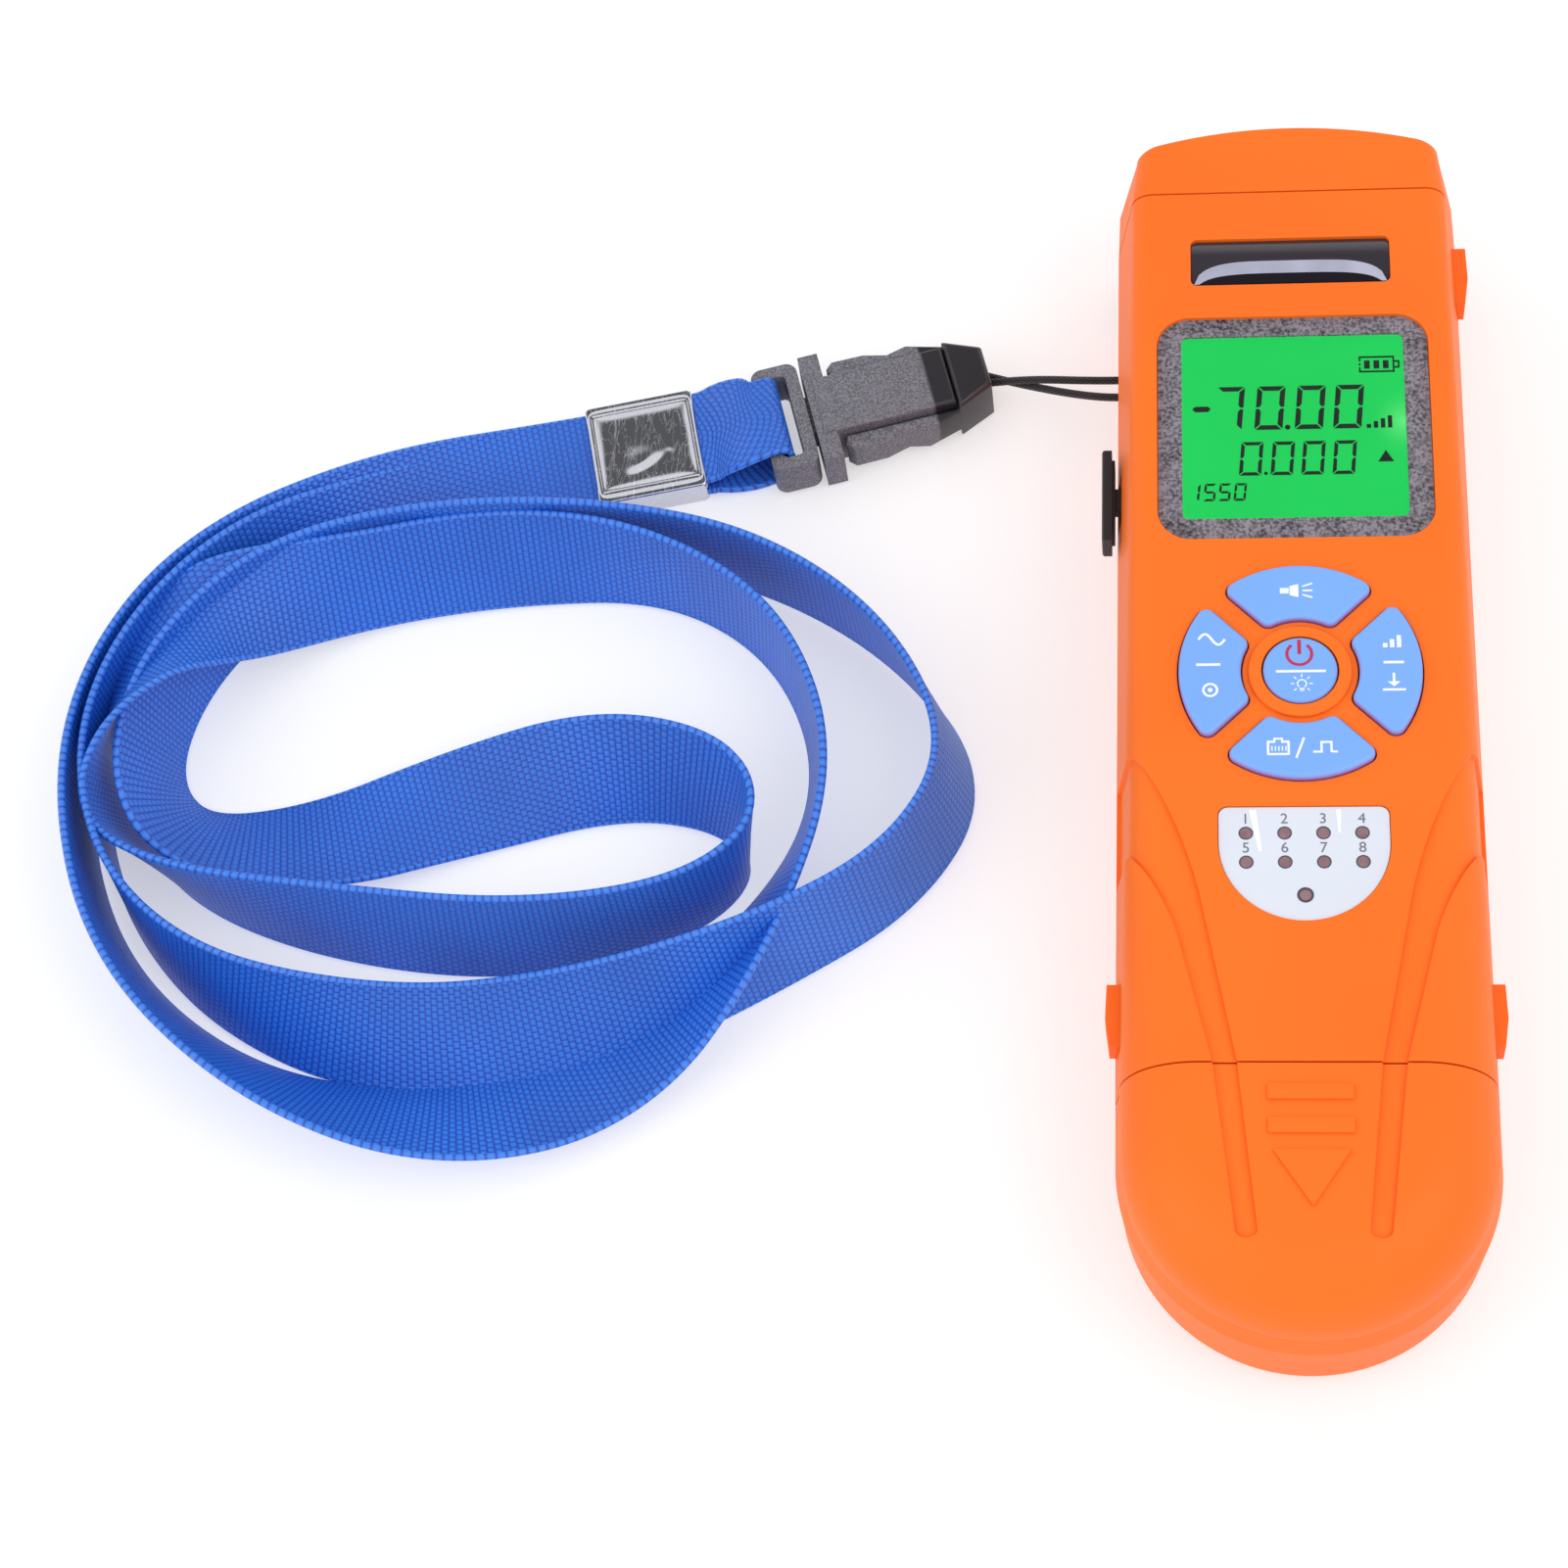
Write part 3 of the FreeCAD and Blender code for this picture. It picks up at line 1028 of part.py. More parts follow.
def cord_wire(points):
    """Straight runs joined by tangent arcs, each as large as its two runs allow."""
    corners = [V(*point) for point in points]
    edges, here = [], corners[0]
    for before, corner, after in zip(corners, corners[1:], corners[2:]):
        back, ahead = (before - corner).normalize(), (after - corner).normalize()
        reach = 0.45 * min((before - corner).Length, (after - corner).Length)
        half_turn = (math.pi - back.getAngle(ahead)) / 2
        radius = reach / math.tan(half_turn)
        start, end = corner + back * reach, corner + ahead * reach
        inward = (back + ahead).normalize()
        middle = corner + inward * (radius / math.cos(half_turn) - radius)
        edges.append(Part.LineSegment(here, start).toShape())
        edges.append(Part.Arc(start, middle, end).toShape())
        here = end
    edges.append(Part.LineSegment(here, corners[-1]).toShape())
    return Part.Wire(edges)


def swept(name, wire, section):
    """Sweep a section that stands at the wire's start."""
    item = doc.addObject("Part::Feature", name)
    item.Shape = wire.makePipeShell([section], True, False)
    return item


def make_loop_cord():
    """Cord from the buckle's tip round the lanyard pin and back; its strands cross near the buckle."""
    radius = size("cord_radius")
    pin_x, pin_y, height = size("pin_x"), size("pin_y"), size("eye_low + eye_tall / 2")
    swing = size("pin_radius + cord_radius") + 0.12
    tip_x, tip_y, tip_z = size("buckle_x") - 0.6, size("buckle_y"), size("buckle_thick / 2")
    out_x, cross_x, cross_y, cross_z = pin_x - 5, tip_x + 5.5, tip_y - 1.5, (height + 2 * tip_z) / 3
    apart, over = radius + 0.15, radius + 0.25
    points = [(tip_x, tip_y - apart, tip_z), (cross_x, cross_y, cross_z + over), (out_x, pin_y + swing, height),
              (pin_x + swing, pin_y + swing, height), (pin_x + swing, pin_y - swing, height),
              (out_x, pin_y - swing, height), (cross_x, cross_y, cross_z - over), (tip_x, tip_y + apart, tip_z)]
    wire = cord_wire(points)
    ahead = V(*points[1]) - V(*points[0])
    ring = Part.Wire([Part.Circle(V(*points[0]), ahead, radius).toShape()])
    label(swept("loop_cord_solid", wire, ring), "loop_cord")
    label(rod("lanyard_pin_solid", "pin_radius", "eye_tall + bay_wall - 0.2", "pin_x", "pin_y",
              "eye_low - bay_wall / 2 + 0.1"), "lanyard_pin")


def turned(item, name, x, y, turn):
    """Set a piece down from its own frame."""
    item.Placement.Rotation = FreeCAD.Rotation(V(0, 0, 1), size(turn))
    place(item, x, y, "laid_gap")
    return label(item, name)


def across(outline):
    """An outline's mirror image on the other side of its X axis."""
    return [(corner[0], "-(%s)" % corner[1]) for corner in outline]


def make_buckle():
    """Side-release buckle; in its own frame X runs from the cord's end to the ring."""
    arm = [("socket_low - 1", "arm_inner"), ("socket_low - 0.2", "arm_inner + 0.6"), ("10", "arm_half - 0.3"),
           ("12.8", "arm_half - 1"), ("16", "arm_half - 0.1"), ("arm_end - 1", "arm_half"),
           ("arm_end", "arm_half - 1"), ("arm_end - 0.4", "arm_inner")]
    tip = slab("plug_tip", [[("0", "-tip_half"), ("socket_low - 0.2", "-(arm_inner + 0.6)"),
                             ("socket_low - 0.2", "arm_inner + 0.6"), ("0", "tip_half")]], "0", "buckle_thick")
    soften_top(tip, "0.8", "plug_tip_edge")
    arms = [slab("plug_arm_%d" % n, [outline], "1.5", "buckle_thick - 1.5") for n, outline in
            enumerate((arm, across(arm)))]
    tongue = box("plug_tongue", "1", "-2.2", "buckle_thick / 2 - 0.8", "arm_end - 4", "4.4", "1.6")
    bore = rod("tip_bore", "2 * cord_radius + 0.5", "4", "-1", "0", "buckle_thick / 2 - laid_gap", "x")
    turned(cut("buckle_plug_solid", fuse("plug_blank", tip, tongue, *arms), bore), "buckle_plug", "buckle_x",
           "buckle_y", "buckle_turn")
    plate = slab("socket_plate", [rectangle("socket_low", "socket_long - 1", "-plate_half", "plate_half")], "0",
                 "buckle_thick")
    soften_top(plate, "0.5", "socket_plate_edge")
    flange = box("socket_flange", "socket_long - flange_thick", "-flange_half", "0.4", "flange_thick",
                 "2 * flange_half", "buckle_thick - 0.8")
    neck = box("socket_neck", "socket_long - 0.5", "-3", "2", "1.5", "6", "buckle_thick - 4")
    start, end = "socket_long + 0.5", "socket_long + 0.5 + ring_long"
    ring = slab("socket_ring", [
        rounded(start, end, "-ring_half", "ring_half", "1.6"),
        rounded(start + " + ring_bar", end + " - ring_bar", "ring_bar - ring_half", "ring_half - ring_bar", "0.7")],
        "0.8", "buckle_thick - 0.8")
    hollow = box("socket_hollow", "socket_low - 1", "-2.5", "buckle_thick / 2 - 1.1", "arm_end - socket_low - 1",
                 "5", "2.2")
    turned(cut("buckle_socket_solid", fuse("socket_blank", plate, flange, neck, ring), hollow), "buckle_socket",
           "buckle_x", "buckle_y", "buckle_turn")


def make_clasp():
    """Flattened metal sleeve that closes the webbing's loop, with a raised rim on its upper face."""
    half_long, opening_half = "(clasp_long / 2)", "(strap_width / 2 + 0.1)"
    block = slab("clasp_block", [rounded("-" + half_long, half_long, "-clasp_half", "clasp_half", "0.8")], "0",
                 "clasp_thick")
    soften_top(block, "0.3", "clasp_edge")
    dish = slab("clasp_dish", [rounded("1.2 - " + half_long, half_long + " - 1.2", "1.2 - clasp_half",
                                       "clasp_half - 1.2", "0.6")], "clasp_thick - 0.25", "clasp_thick + 1")
    opening = box("clasp_opening", "-%s - 1" % half_long, "-" + opening_half, "clasp_wall", "clasp_long + 2",
                  "2 * " + opening_half, "clasp_thick - 2 * clasp_wall - 0.3")
    turned(cut("strap_clasp_solid", block, dish, opening), "strap_clasp", "clasp_x", "clasp_y", "clasp_turn")


# Webbing from the clasp round every turn and back: middle x and y, least height, lean in degrees
STRAP_LAY = [
    (-101, 47.2, 2.9, 178), (-124, 41, 4.2, 150), (-147, 29, 7.1, 115), (-160, 12, 7.8, 92), (-162, -8, 7.8, 90),
    (-153, -31, 7.7, 100), (-133, -47, 6.9, 118), (-109, -52, 3.8, 152), (-87, -44, 1.0, 175),
    (-69, -26, 6.4, 125), (-60, -4, 7.7, 100), (-67, 17, 7.8, 95), (-84, 29, 7.7, 100), (-107, 31.5, 6.3, 127),
    (-131, 26, 7.2, 120), (-150, 18, 13.0, 180), (-158, 4, 11.0, 245), (-157, -9, 7.0, 300),
    (-146, -19, 7.8, 275), (-124, -24.5, 7.3, 250), (-100, -27, 7.3, 250), (-79, -23, 7.7, 262),
    (-69, -14, 7.8, 272), (-74, -4, 6.8, 300), (-90, 0, 5.2, 320), (-110, -4, 1.7, 350), (-129, -11, 1.9, 372),
    (-146, -12, 5.2, 400), (-153, -2, 7.3, 428), (-150, 14, 7.4, 432), (-138, 28, 7.7, 440),
    (-117, 34.5, 7.8, 446), (-92, 34.5, 7.8, 447), (-70, 29, 7.8, 447), (-52, 16, 7.8, 455), (-42, -2, 7.5, 468),
    (-50, -18, 7.5, 466), (-68, -29, 7.4, 470), (-90, -37.5, 5.6, 495), (-115, -40.5, 4.6, 505),
    (-138, -35, 7.4, 470), (-153, -22, 7.8, 452), (-160, -4, 7.8, 450), (-157, 14, 7.8, 448),
    (-143, 30, 7.1, 425), (-121, 39, 3.5, 385), (-101, 47, 1.2, 360)]


def webbing_leg(start, end):
    """Straight stretch of leaning webbing between two places of the lay, clear of the floor."""
    half_wide, half_thick = size("strap_width") / 2, size("strap_band") / 2
    lean = math.radians((start[3] + end[3]) / 2)
    way = V(end[0] - start[0], end[1] - start[1], 0).normalize()
    across = V(-way.y, way.x, 0) * math.cos(lean) + V(0, 0, math.sin(lean))
    through = across.cross(way) * half_thick
    rise = size("laid_gap") + half_wide * abs(math.sin(lean)) + half_thick * abs(math.cos(lean))
    first = V(start[0], start[1], max((start[2] + end[2]) / 2, rise)) - way * half_thick
    across = across * half_wide
    corners = [first - across - through, first + across - through, first + across + through,
               first - across + through]
    length = math.dist(start[:2], end[:2]) + 2 * half_thick
    return Part.Face(Part.makePolygon(corners + corners[:1])).extrude(way * length)


def make_strap():
    """Coil of webbing as thin leaning bands, joined to the flat lead that passes through the clasp."""
    bands = []
    for start, end in zip(STRAP_LAY, STRAP_LAY[1:]):
        band = doc.addObject("Part::Feature", "strap_band_%d" % len(bands))
        band.Shape = webbing_leg(start, end)
        bands.append(band)
    lead = slab("strap_lead", [rectangle("-clasp_long", "lead_long", "-strap_width / 2", "strap_width / 2")],
                "clasp_wall + 0.1", "clasp_thick - clasp_wall - 0.4")
    lead.Placement.Rotation = FreeCAD.Rotation(V(0, 0, 1), size("clasp_turn"))
    place(lead, "clasp_x", "clasp_y", "laid_gap")
    label(fuse("strap_solid", lead, *bands), "strap")


make_front_shell()
make_rear_shell()
make_name_insert()
make_display()
make_keys()
make_indicator()
make_boards()
make_ports()
make_cap()
make_batteries()
make_screws()
make_side_controls()
make_tail()
make_loop_cord()
make_buckle()
make_clasp()
make_strap()
doc.recompute()

for item in doc.Objects:
    if "Invalid" in item.State or "Error" in item.State:
        raise RuntimeError("%s did not recompute: %s" % (item.Name, item.State))

os.makedirs("parts", exist_ok=True)
for item in finished:
    shape = item.Shape
    if shape.isNull() or not shape.isValid() or not shape.Solids:
        raise RuntimeError("%s has no valid solid" % item.Label)
    shape.exportStep("parts/%s.step" % item.Label)
    print(item.Label, len(shape.Solids), round(shape.Volume), [round(v, 1) for v in (
        shape.BoundBox.XMin, shape.BoundBox.XMax, shape.BoundBox.YMin, shape.BoundBox.YMax,
        shape.BoundBox.ZMin, shape.BoundBox.ZMax)])
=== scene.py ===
"""Optical power meter with its wrist lanyard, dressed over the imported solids.

Lengths in the functions are millimetres unless a name says otherwise; meshes are written in metres.
"""

import math

import bmesh
import bpy
import numpy as np
from mathutils import Matrix, Vector


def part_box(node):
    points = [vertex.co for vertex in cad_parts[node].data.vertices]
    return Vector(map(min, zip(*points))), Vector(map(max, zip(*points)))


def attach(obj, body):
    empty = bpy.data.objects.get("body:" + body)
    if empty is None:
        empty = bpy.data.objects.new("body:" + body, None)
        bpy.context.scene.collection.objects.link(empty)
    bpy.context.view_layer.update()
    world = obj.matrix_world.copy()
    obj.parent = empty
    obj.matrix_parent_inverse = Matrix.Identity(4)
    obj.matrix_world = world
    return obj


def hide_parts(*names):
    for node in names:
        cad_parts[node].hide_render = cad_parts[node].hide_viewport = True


bl_info = {
    "name": "Power Meter Finish",
    "version": (1, 0, 0),
    "blender": (4, 5, 0),
    "location": "3D View > Sidebar > Meter",
    "description": "Builds the finishes, display, legends and lanyard of a handheld optical power meter",
    "category": "Object",
}

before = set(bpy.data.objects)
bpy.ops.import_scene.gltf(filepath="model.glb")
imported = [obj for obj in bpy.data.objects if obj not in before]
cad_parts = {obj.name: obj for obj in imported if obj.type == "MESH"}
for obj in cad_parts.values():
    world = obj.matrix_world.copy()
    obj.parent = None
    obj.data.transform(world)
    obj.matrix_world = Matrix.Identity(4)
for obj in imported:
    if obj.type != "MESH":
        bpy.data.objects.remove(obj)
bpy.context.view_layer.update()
MM = 0.001
UP = np.array([0.0, 0.0, 1.0])


def heading(degrees):
    """Level unit vector at an angle from +X."""
    turn = math.radians(degrees)
    return np.array([math.cos(turn), math.sin(turn), 0.0])


# Where the clasp, the buckle and its ring lie on the table, and the way each of them points.
CLASP_MIDDLE = np.array([-88.4, 49.9, 0.0])
CLASP_WAY = heading(11.7)
RING_BAR = np.array([-71.0, 52.0, 0.0])
RING_WAY = heading(15)
BUCKLE_TIP = np.array([-41.0, 60.0, 0.0])
BUCKLE_WAY = -RING_WAY

# Lay of the webbing from the clasp and back to it: x, y and height of its middle, and its lean in degrees,
# which counts on through the twists: it lies flat at every 180 and stands on edge half way between.
STRAP_LAY = [
    (-91.5, 49.3, 2.9, 180), (-101, 47.2, 2.9, 178), (-124, 41, 4.2, 150), (-147, 29, 7.1, 115),
    (-160, 12, 7.8, 92), (-162, -8, 7.8, 90), (-153, -31, 7.7, 100), (-133, -47, 6.9, 118),
    (-109, -52, 3.8, 152), (-87, -44, 1.0, 175), (-69, -26, 6.4, 125), (-60, -4, 7.7, 100),
    (-67, 17, 7.8, 95), (-84, 29, 7.7, 100), (-107, 31.5, 6.3, 127), (-131, 26, 7.2, 120),
    (-150, 18, 13.0, 180), (-158, 4, 11.0, 245), (-157, -9, 7.0, 300), (-146, -19, 7.8, 275),
    (-124, -24.5, 7.3, 250), (-100, -27, 7.3, 250), (-79, -23, 7.7, 262), (-69, -14, 7.8, 272),
    (-74, -4, 6.8, 300), (-90, 0, 5.2, 320), (-110, -4, 1.7, 350), (-129, -11, 1.9, 372),
    (-146, -12, 5.2, 400), (-153, -2, 7.3, 428), (-150, 14, 7.4, 432), (-138, 28, 7.7, 440),
    (-117, 34.5, 7.8, 446), (-92, 34.5, 7.8, 447), (-70, 29, 7.8, 447), (-52, 16, 7.8, 455),
    (-42, -2, 7.5, 468), (-50, -18, 7.5, 466), (-68, -29, 7.4, 470), (-90, -37.5, 5.6, 495),
    (-115, -40.5, 4.6, 505), (-138, -35, 7.4, 470), (-153, -22, 7.8, 452), (-160, -4, 7.8, 450),
    (-157, 14, 7.8, 448), (-143, 30, 7.1, 425), (-121, 39, 3.5, 385), (-101, 47, 1.2, 360),
    (-91.5, 49.3, 1.3, 360)]

# Figures of the display: the digits, the left edge of each, their foot, width and height, their share of the
# full stroke, and how far they lean for their height.
READINGS = (("7000", (-10.28, -5.06, 0.1, 5.0), 36.2, 3.62, 6.62, 1.0, 0.083),
            ("0000", (-7.12, -3.1, 0.8, 4.76), 29.32, 2.84, 5.04, 0.72, 0.083),
            ("1550", (-13.75, -11.72, -9.82, -7.86), 25.58, 1.52, 2.6, 0.46, 0.11))
SEGMENTS = {"0": "abcdef", "1": "bc", "5": "acdfg", "7": "abc"}

# How much taller each printed outline is than the one before it.
PRINT_STEP = 0.0008

# Camera of the photograph, in metres: its focal length for each unit of the picture's width, its place, and
# the ways ahead of it and to its right. The dark flag hangs the way that its view is mirrored by the table.
CAMERA_REACH = 3628.0 / 1601.0
CAMERA_PLACE = (-0.014903, -0.212802, 0.418869)
CAMERA_AHEAD = (-0.11075, 0.44880, -0.88674)
CAMERA_RIGHT = (0.99382, 0.04330, -0.10221)
FLAG_WAY = (-0.11, 0.45, 0.886)


def srgb(red, green, blue):
    """Linear colour of a display colour in 0 to 255: the sRGB curve, channel by channel."""
    shares = np.array([red, green, blue]) / 255.0
    linear = np.where(shares <= 0.04045, shares / 12.92, ((shares + 0.055) / 1.055) ** 2.4)
    return tuple(float(value) for value in linear)


def colour_property(name, description, colour):
    return bpy.props.FloatVectorProperty(name=name, description=description, default=colour, size=3,
                                         min=0.0, max=1.0, subtype="COLOR")


def length_property(name, description, millimetres):
    return bpy.props.FloatProperty(name=name, description=description, default=millimetres * MM, min=0.0,
                                   subtype="DISTANCE", unit="LENGTH")


def share_property(name, description, share):
    return bpy.props.FloatProperty(name=name, description=description, default=share, min=0.0, max=1.0,
                                   subtype="FACTOR")


def power_property(name, description, watts):
    return bpy.props.FloatProperty(name=name, description=description, default=watts, min=0.0,
                                   subtype="POWER", unit="POWER")


class HousingLook(bpy.types.PropertyGroup):
    orange: colour_property("Orange", "Moulded housing", srgb(255, 120, 34))
    orange_deep: colour_property("Deep orange", "Slow drift of the moulding's colour", srgb(253, 113, 30))
    black: colour_property("Black", "Switch knob, sockets and port panel", srgb(38, 37, 40))
    insert: colour_property("Insert", "Polished insert over the display", srgb(60, 53, 62))
    # Painted reflection on the insert: a pale arch of a bright light, and painted dark reflection below it.
    sheen: colour_property("Sheen", "Pale arch of the insert", srgb(186, 186, 208))
    shade: colour_property("Shade", "Insert below the arch", srgb(26, 20, 32))


class DisplayLook(bpy.types.PropertyGroup):
    green: colour_property("Green", "Lit display", srgb(10, 218, 92))
    glow: colour_property("Glow", "Bright spot beside the backlight's lamp", srgb(100, 248, 132))
    ink: colour_property("Ink", "Dark segments", srgb(4, 14, 10))
    frame_dark: colour_property("Frame, dark", "Dark specks of the textured frame", srgb(50, 45, 54))
    frame_pale: colour_property("Frame, pale", "Pale specks of the textured frame", srgb(156, 149, 160))
    segment: length_property("Segment", "Stroke of the large digits", 0.68)


class KeypadLook(bpy.types.PropertyGroup):
    blue: colour_property("Blue", "Face of the keys", srgb(124, 176, 255))
    # Painted bounce light: the housing's orange glow and the edge's shade, painted on the keys' sides.
    rim: colour_property("Rim", "Side of the keys, warmed by the housing", srgb(172, 128, 205))
    legend: colour_property("Legend", "White print", srgb(246, 250, 255))
    power: colour_property("Power mark", "Red print", srgb(196, 40, 78))
    label: colour_property("Label", "Silvery label", srgb(226, 231, 244))
    lamp: colour_property("Lamp", "Unlit lamps", srgb(158, 122, 130))
    number: colour_property("Number", "Grey print of the label", srgb(120, 122, 136))
    print_rise: length_property("Print", "Thickness of the print", 0.03)


class LanyardLook(bpy.types.PropertyGroup):
    webbing: colour_property("Webbing", "Threads of the webbing", srgb(40, 122, 236))
    # Painted shade in the gaps between the threads.
    gap: colour_property("Between threads", "Shade between the threads", srgb(14, 58, 172))
    selvage: colour_property("Selvage", "Bound edge threads", srgb(56, 130, 238))
    cord: colour_property("Cord", "Braided loop cord", srgb(34, 33, 38))
    buckle: colour_property("Buckle", "Grained buckle", srgb(130, 129, 139))
    buckle_tip: colour_property("Buckle tip", "Smooth tip and grooves of the buckle", srgb(46, 45, 50))
    chrome: colour_property("Clasp", "Plated clasp", srgb(206, 207, 216))
    width: length_property("Width", "Webbing width", 15.0)
    thickness: length_property("Thickness", "Webbing thickness", 1.0)
    cord_size: length_property("Cord diameter", "Loop cord", 1.1)


class StageLook(bpy.types.PropertyGroup):
    floor: colour_property("Floor", "Pale table", (0.55, 0.55, 0.562))
    lift: share_property("Lift", "Light of the table itself, as of a lit sheet", 0.5)
    sky: share_property("Sky", "Even light from all round", 0.9)
    flag: share_property("Flag", "What a dark flag over the table leaves of the sky in reflections", 0.14)
    key: power_property("Key", "Soft lamp over the table", 1.5)
    fill: power_property("Fill", "Soft lamp beside the table", 1.2)


LOOKS = {"meter_housing": HousingLook, "meter_display": DisplayLook, "meter_keypad": KeypadLook,
         "meter_lanyard": LanyardLook, "meter_stage": StageLook}


def new_node(tree, kind, sources=(), **settings):
    """Add a shader node; sources maps its inputs to sockets or values, settings are its own attributes."""
    made = tree.nodes.new(kind)
    for key, value in settings.items():
        setattr(made, key, value)
    for key, source in dict(sources).items():
        if isinstance(source, bpy.types.NodeSocket):
            tree.links.new(source, made.inputs[key])
        else:
            made.inputs[key].default_value = source
    return made


def new_group(name, inputs, outputs):
    """Empty node group with float inputs (name: default) and float outputs."""
    tree = bpy.data.node_groups.new(name, "ShaderNodeTree")
    for label, default in inputs.items():
        socket = tree.interface.new_socket(name=label, in_out="INPUT", socket_type="NodeSocketFloat")
        socket.default_value = default
    for label in outputs:
        tree.interface.new_socket(name=label, in_out="OUTPUT", socket_type="NodeSocketFloat")
    return tree, tree.nodes.new("NodeGroupInput").outputs, tree.nodes.new("NodeGroupOutput").inputs


def maths(tree, operation, *values, clamp=False):
    """One scalar Math node, returned as its output socket."""
    return new_node(tree, "ShaderNodeMath", dict(enumerate(values)), operation=operation,
                    use_clamp=clamp).outputs[0]


def ripple(tree, value, factor=math.pi):
    """Absolute sine of a value times a factor."""
    return maths(tree, "ABSOLUTE", maths(tree, "SINE", maths(tree, "MULTIPLY", value, factor)))


def spread(tree, value, low=0.0, high=1.0, start=0.0, end=1.0, **settings):
    """Map a socket from the range between start and end to the one between low and high, held beyond them."""
    return new_node(tree, "ShaderNodeMapRange", {"Value": value, "From Min": start, "From Max": end,
                                                 "To Min": low, "To Max": high}, **settings).outputs[0]


def object_place(tree):
    return new_node(tree, "ShaderNodeTexCoord").outputs["Object"]


def noise(tree, place, size, detail, distortion=0.0):
    return new_node(tree, "ShaderNodeTexNoise", {"Vector": place, "Scale": size, "Detail": detail,
                                                 "Distortion": distortion}).outputs["Fac"]


def grain_group():
    """Moulding grain: fine noise as a height, and slow noise as a shade from 0 to 1, both in object space."""
    tree, given, out = new_group("Moulded Grain", {"Grain Size": 900.0, "Drift Size": 18.0},
                                 ("Height", "Shade"))
    place = object_place(tree)
    tree.links.new(noise(tree, place, given["Grain Size"], detail=4.0), out["Height"])
    slow = noise(tree, place, given["Drift Size"], detail=2.0)
    tree.links.new(spread(tree, slow, start=0.3, end=0.7), out["Shade"])
    return tree


def scratch_group():
    """Hairline scratches and handling marks: a mask of the veins where one of two stretched noises is 0.5."""
    tree, given, out = new_group("Handling Marks", {"Vein Size": 120.0, "Fineness": 0.04}, ("Mask",))
    place = object_place(tree)
    veins = []
    for turn in (0.5, 2.0):
        turned = new_node(tree, "ShaderNodeMapping", {"Vector": place, "Rotation": (0.0, 0.0, turn),
                                                      "Scale": (1.0, 0.25, 1.0)})
        stretched = noise(tree, turned.outputs[0], given["Vein Size"], detail=5.0, distortion=1.2)
        away = maths(tree, "ABSOLUTE", maths(tree, "SUBTRACT", stretched, 0.5))
        veins.append(spread(tree, away, 1.0, 0.0, end=given["Fineness"]))
    tree.links.new(maths(tree, "MAXIMUM", *veins), out["Mask"])
    return tree


def weave_group():
    """Webbing weave on the UV map, in millimetres: bricks of thread in ribs across the band, and bound edges.

    Height is 1 on a thread and 0 between threads; Gap is its inverse; Selvage is 1 on the edge threads.
    """
    tree, given, out = new_group("Webbing Weave", {"Rib Pitch": 0.85, "Thread Pitch": 0.9, "Edge": 6.85},
                                 ("Height", "Gap", "Selvage"))
    place = new_node(tree, "ShaderNodeUVMap").outputs[0]
    across, along = new_node(tree, "ShaderNodeSeparateXYZ", {0: place}).outputs[:2]
    rib_swell, brick_swell, dash_turn, edge_blend = 0.6, 0.4, 0.75 * math.pi, 0.15
    rib = maths(tree, "DIVIDE", along, given["Rib Pitch"])
    shift = maths(tree, "MULTIPLY", maths(tree, "MODULO", maths(tree, "FLOOR", rib), 2.0), 0.5)
    brick = maths(tree, "ADD", maths(tree, "DIVIDE", across, given["Thread Pitch"]), shift)
    lump = maths(tree, "MULTIPLY", maths(tree, "POWER", ripple(tree, rib), rib_swell),
                 maths(tree, "POWER", ripple(tree, brick), brick_swell))
    edge = spread(tree, maths(tree, "ABSOLUTE", across), start=given["Edge"],
                  end=maths(tree, "ADD", given["Edge"], edge_blend))
    dash = ripple(tree, rib, dash_turn)
    height = new_node(tree, "ShaderNodeMix", {0: edge, 2: lump, 3: dash}).outputs[0]
    tree.links.new(height, out["Height"])
    tree.links.new(maths(tree, "SUBTRACT", 1.0, height, clamp=True), out["Gap"])
    tree.links.new(maths(tree, "MULTIPLY", edge, dash), out["Selvage"])
    return tree


def group_node(tree, name, **values):
    """The shared node group of that name, made on first use, with its own input values."""
    makers = {"Moulded Grain": grain_group, "Handling Marks": scratch_group, "Webbing Weave": weave_group}
    group = bpy.data.node_groups.get(name) or makers[name]()
    made = tree.nodes.new("ShaderNodeGroup")
    made.node_tree = group
    for key, value in values.items():
        made.inputs[key.replace("_", " ")].default_value = value
    return made.outputs


def start_material(name, **constants):
    """Material with its Principled shader; constants are set on the shader's own sockets."""
    material = bpy.data.materials.new(name)
    material.use_nodes = True
    shader = material.node_tree.nodes["Principled BSDF"]
    for key, value in constants.items():
        shader.inputs[key.replace("_", " ")].default_value = value
    return material, material.node_tree, shader


def blend_colours(tree, share, first, second):
    """Colour between two, each a socket or a linear RGB triple, by a share from 0 to 1."""
    mix = new_node(tree, "ShaderNodeMix", data_type="RGBA")
    colours = [socket for socket in mix.inputs if socket.type == "RGBA"]
    tree.links.new(share, mix.inputs[0])
    for socket, colour in zip(colours, (first, second)):
        if isinstance(colour, bpy.types.NodeSocket):
            tree.links.new(colour, socket)
        else:
            socket.default_value = (*colour, 1.0)
    return [socket for socket in mix.outputs if socket.type == "RGBA"][0]


def darker(colour, share):
    return tuple(value * share for value in colour)


def add_bump(tree, shader, height, rise):
    """Bump of a height socket, so many millimetres high, on the shader's Normal."""
    bump = new_node(tree, "ShaderNodeBump", {"Height": height, "Distance": rise * MM})
    tree.links.new(bump.outputs[0], shader.inputs["Normal"])


def dress(tree, shader, colour, roughness, height, rise):
    """Feed the shader's colour and roughness, and its bump."""
    tree.links.new(colour, shader.inputs["Base Color"])
    tree.links.new(roughness, shader.inputs["Roughness"])
    add_bump(tree, shader, height, rise)


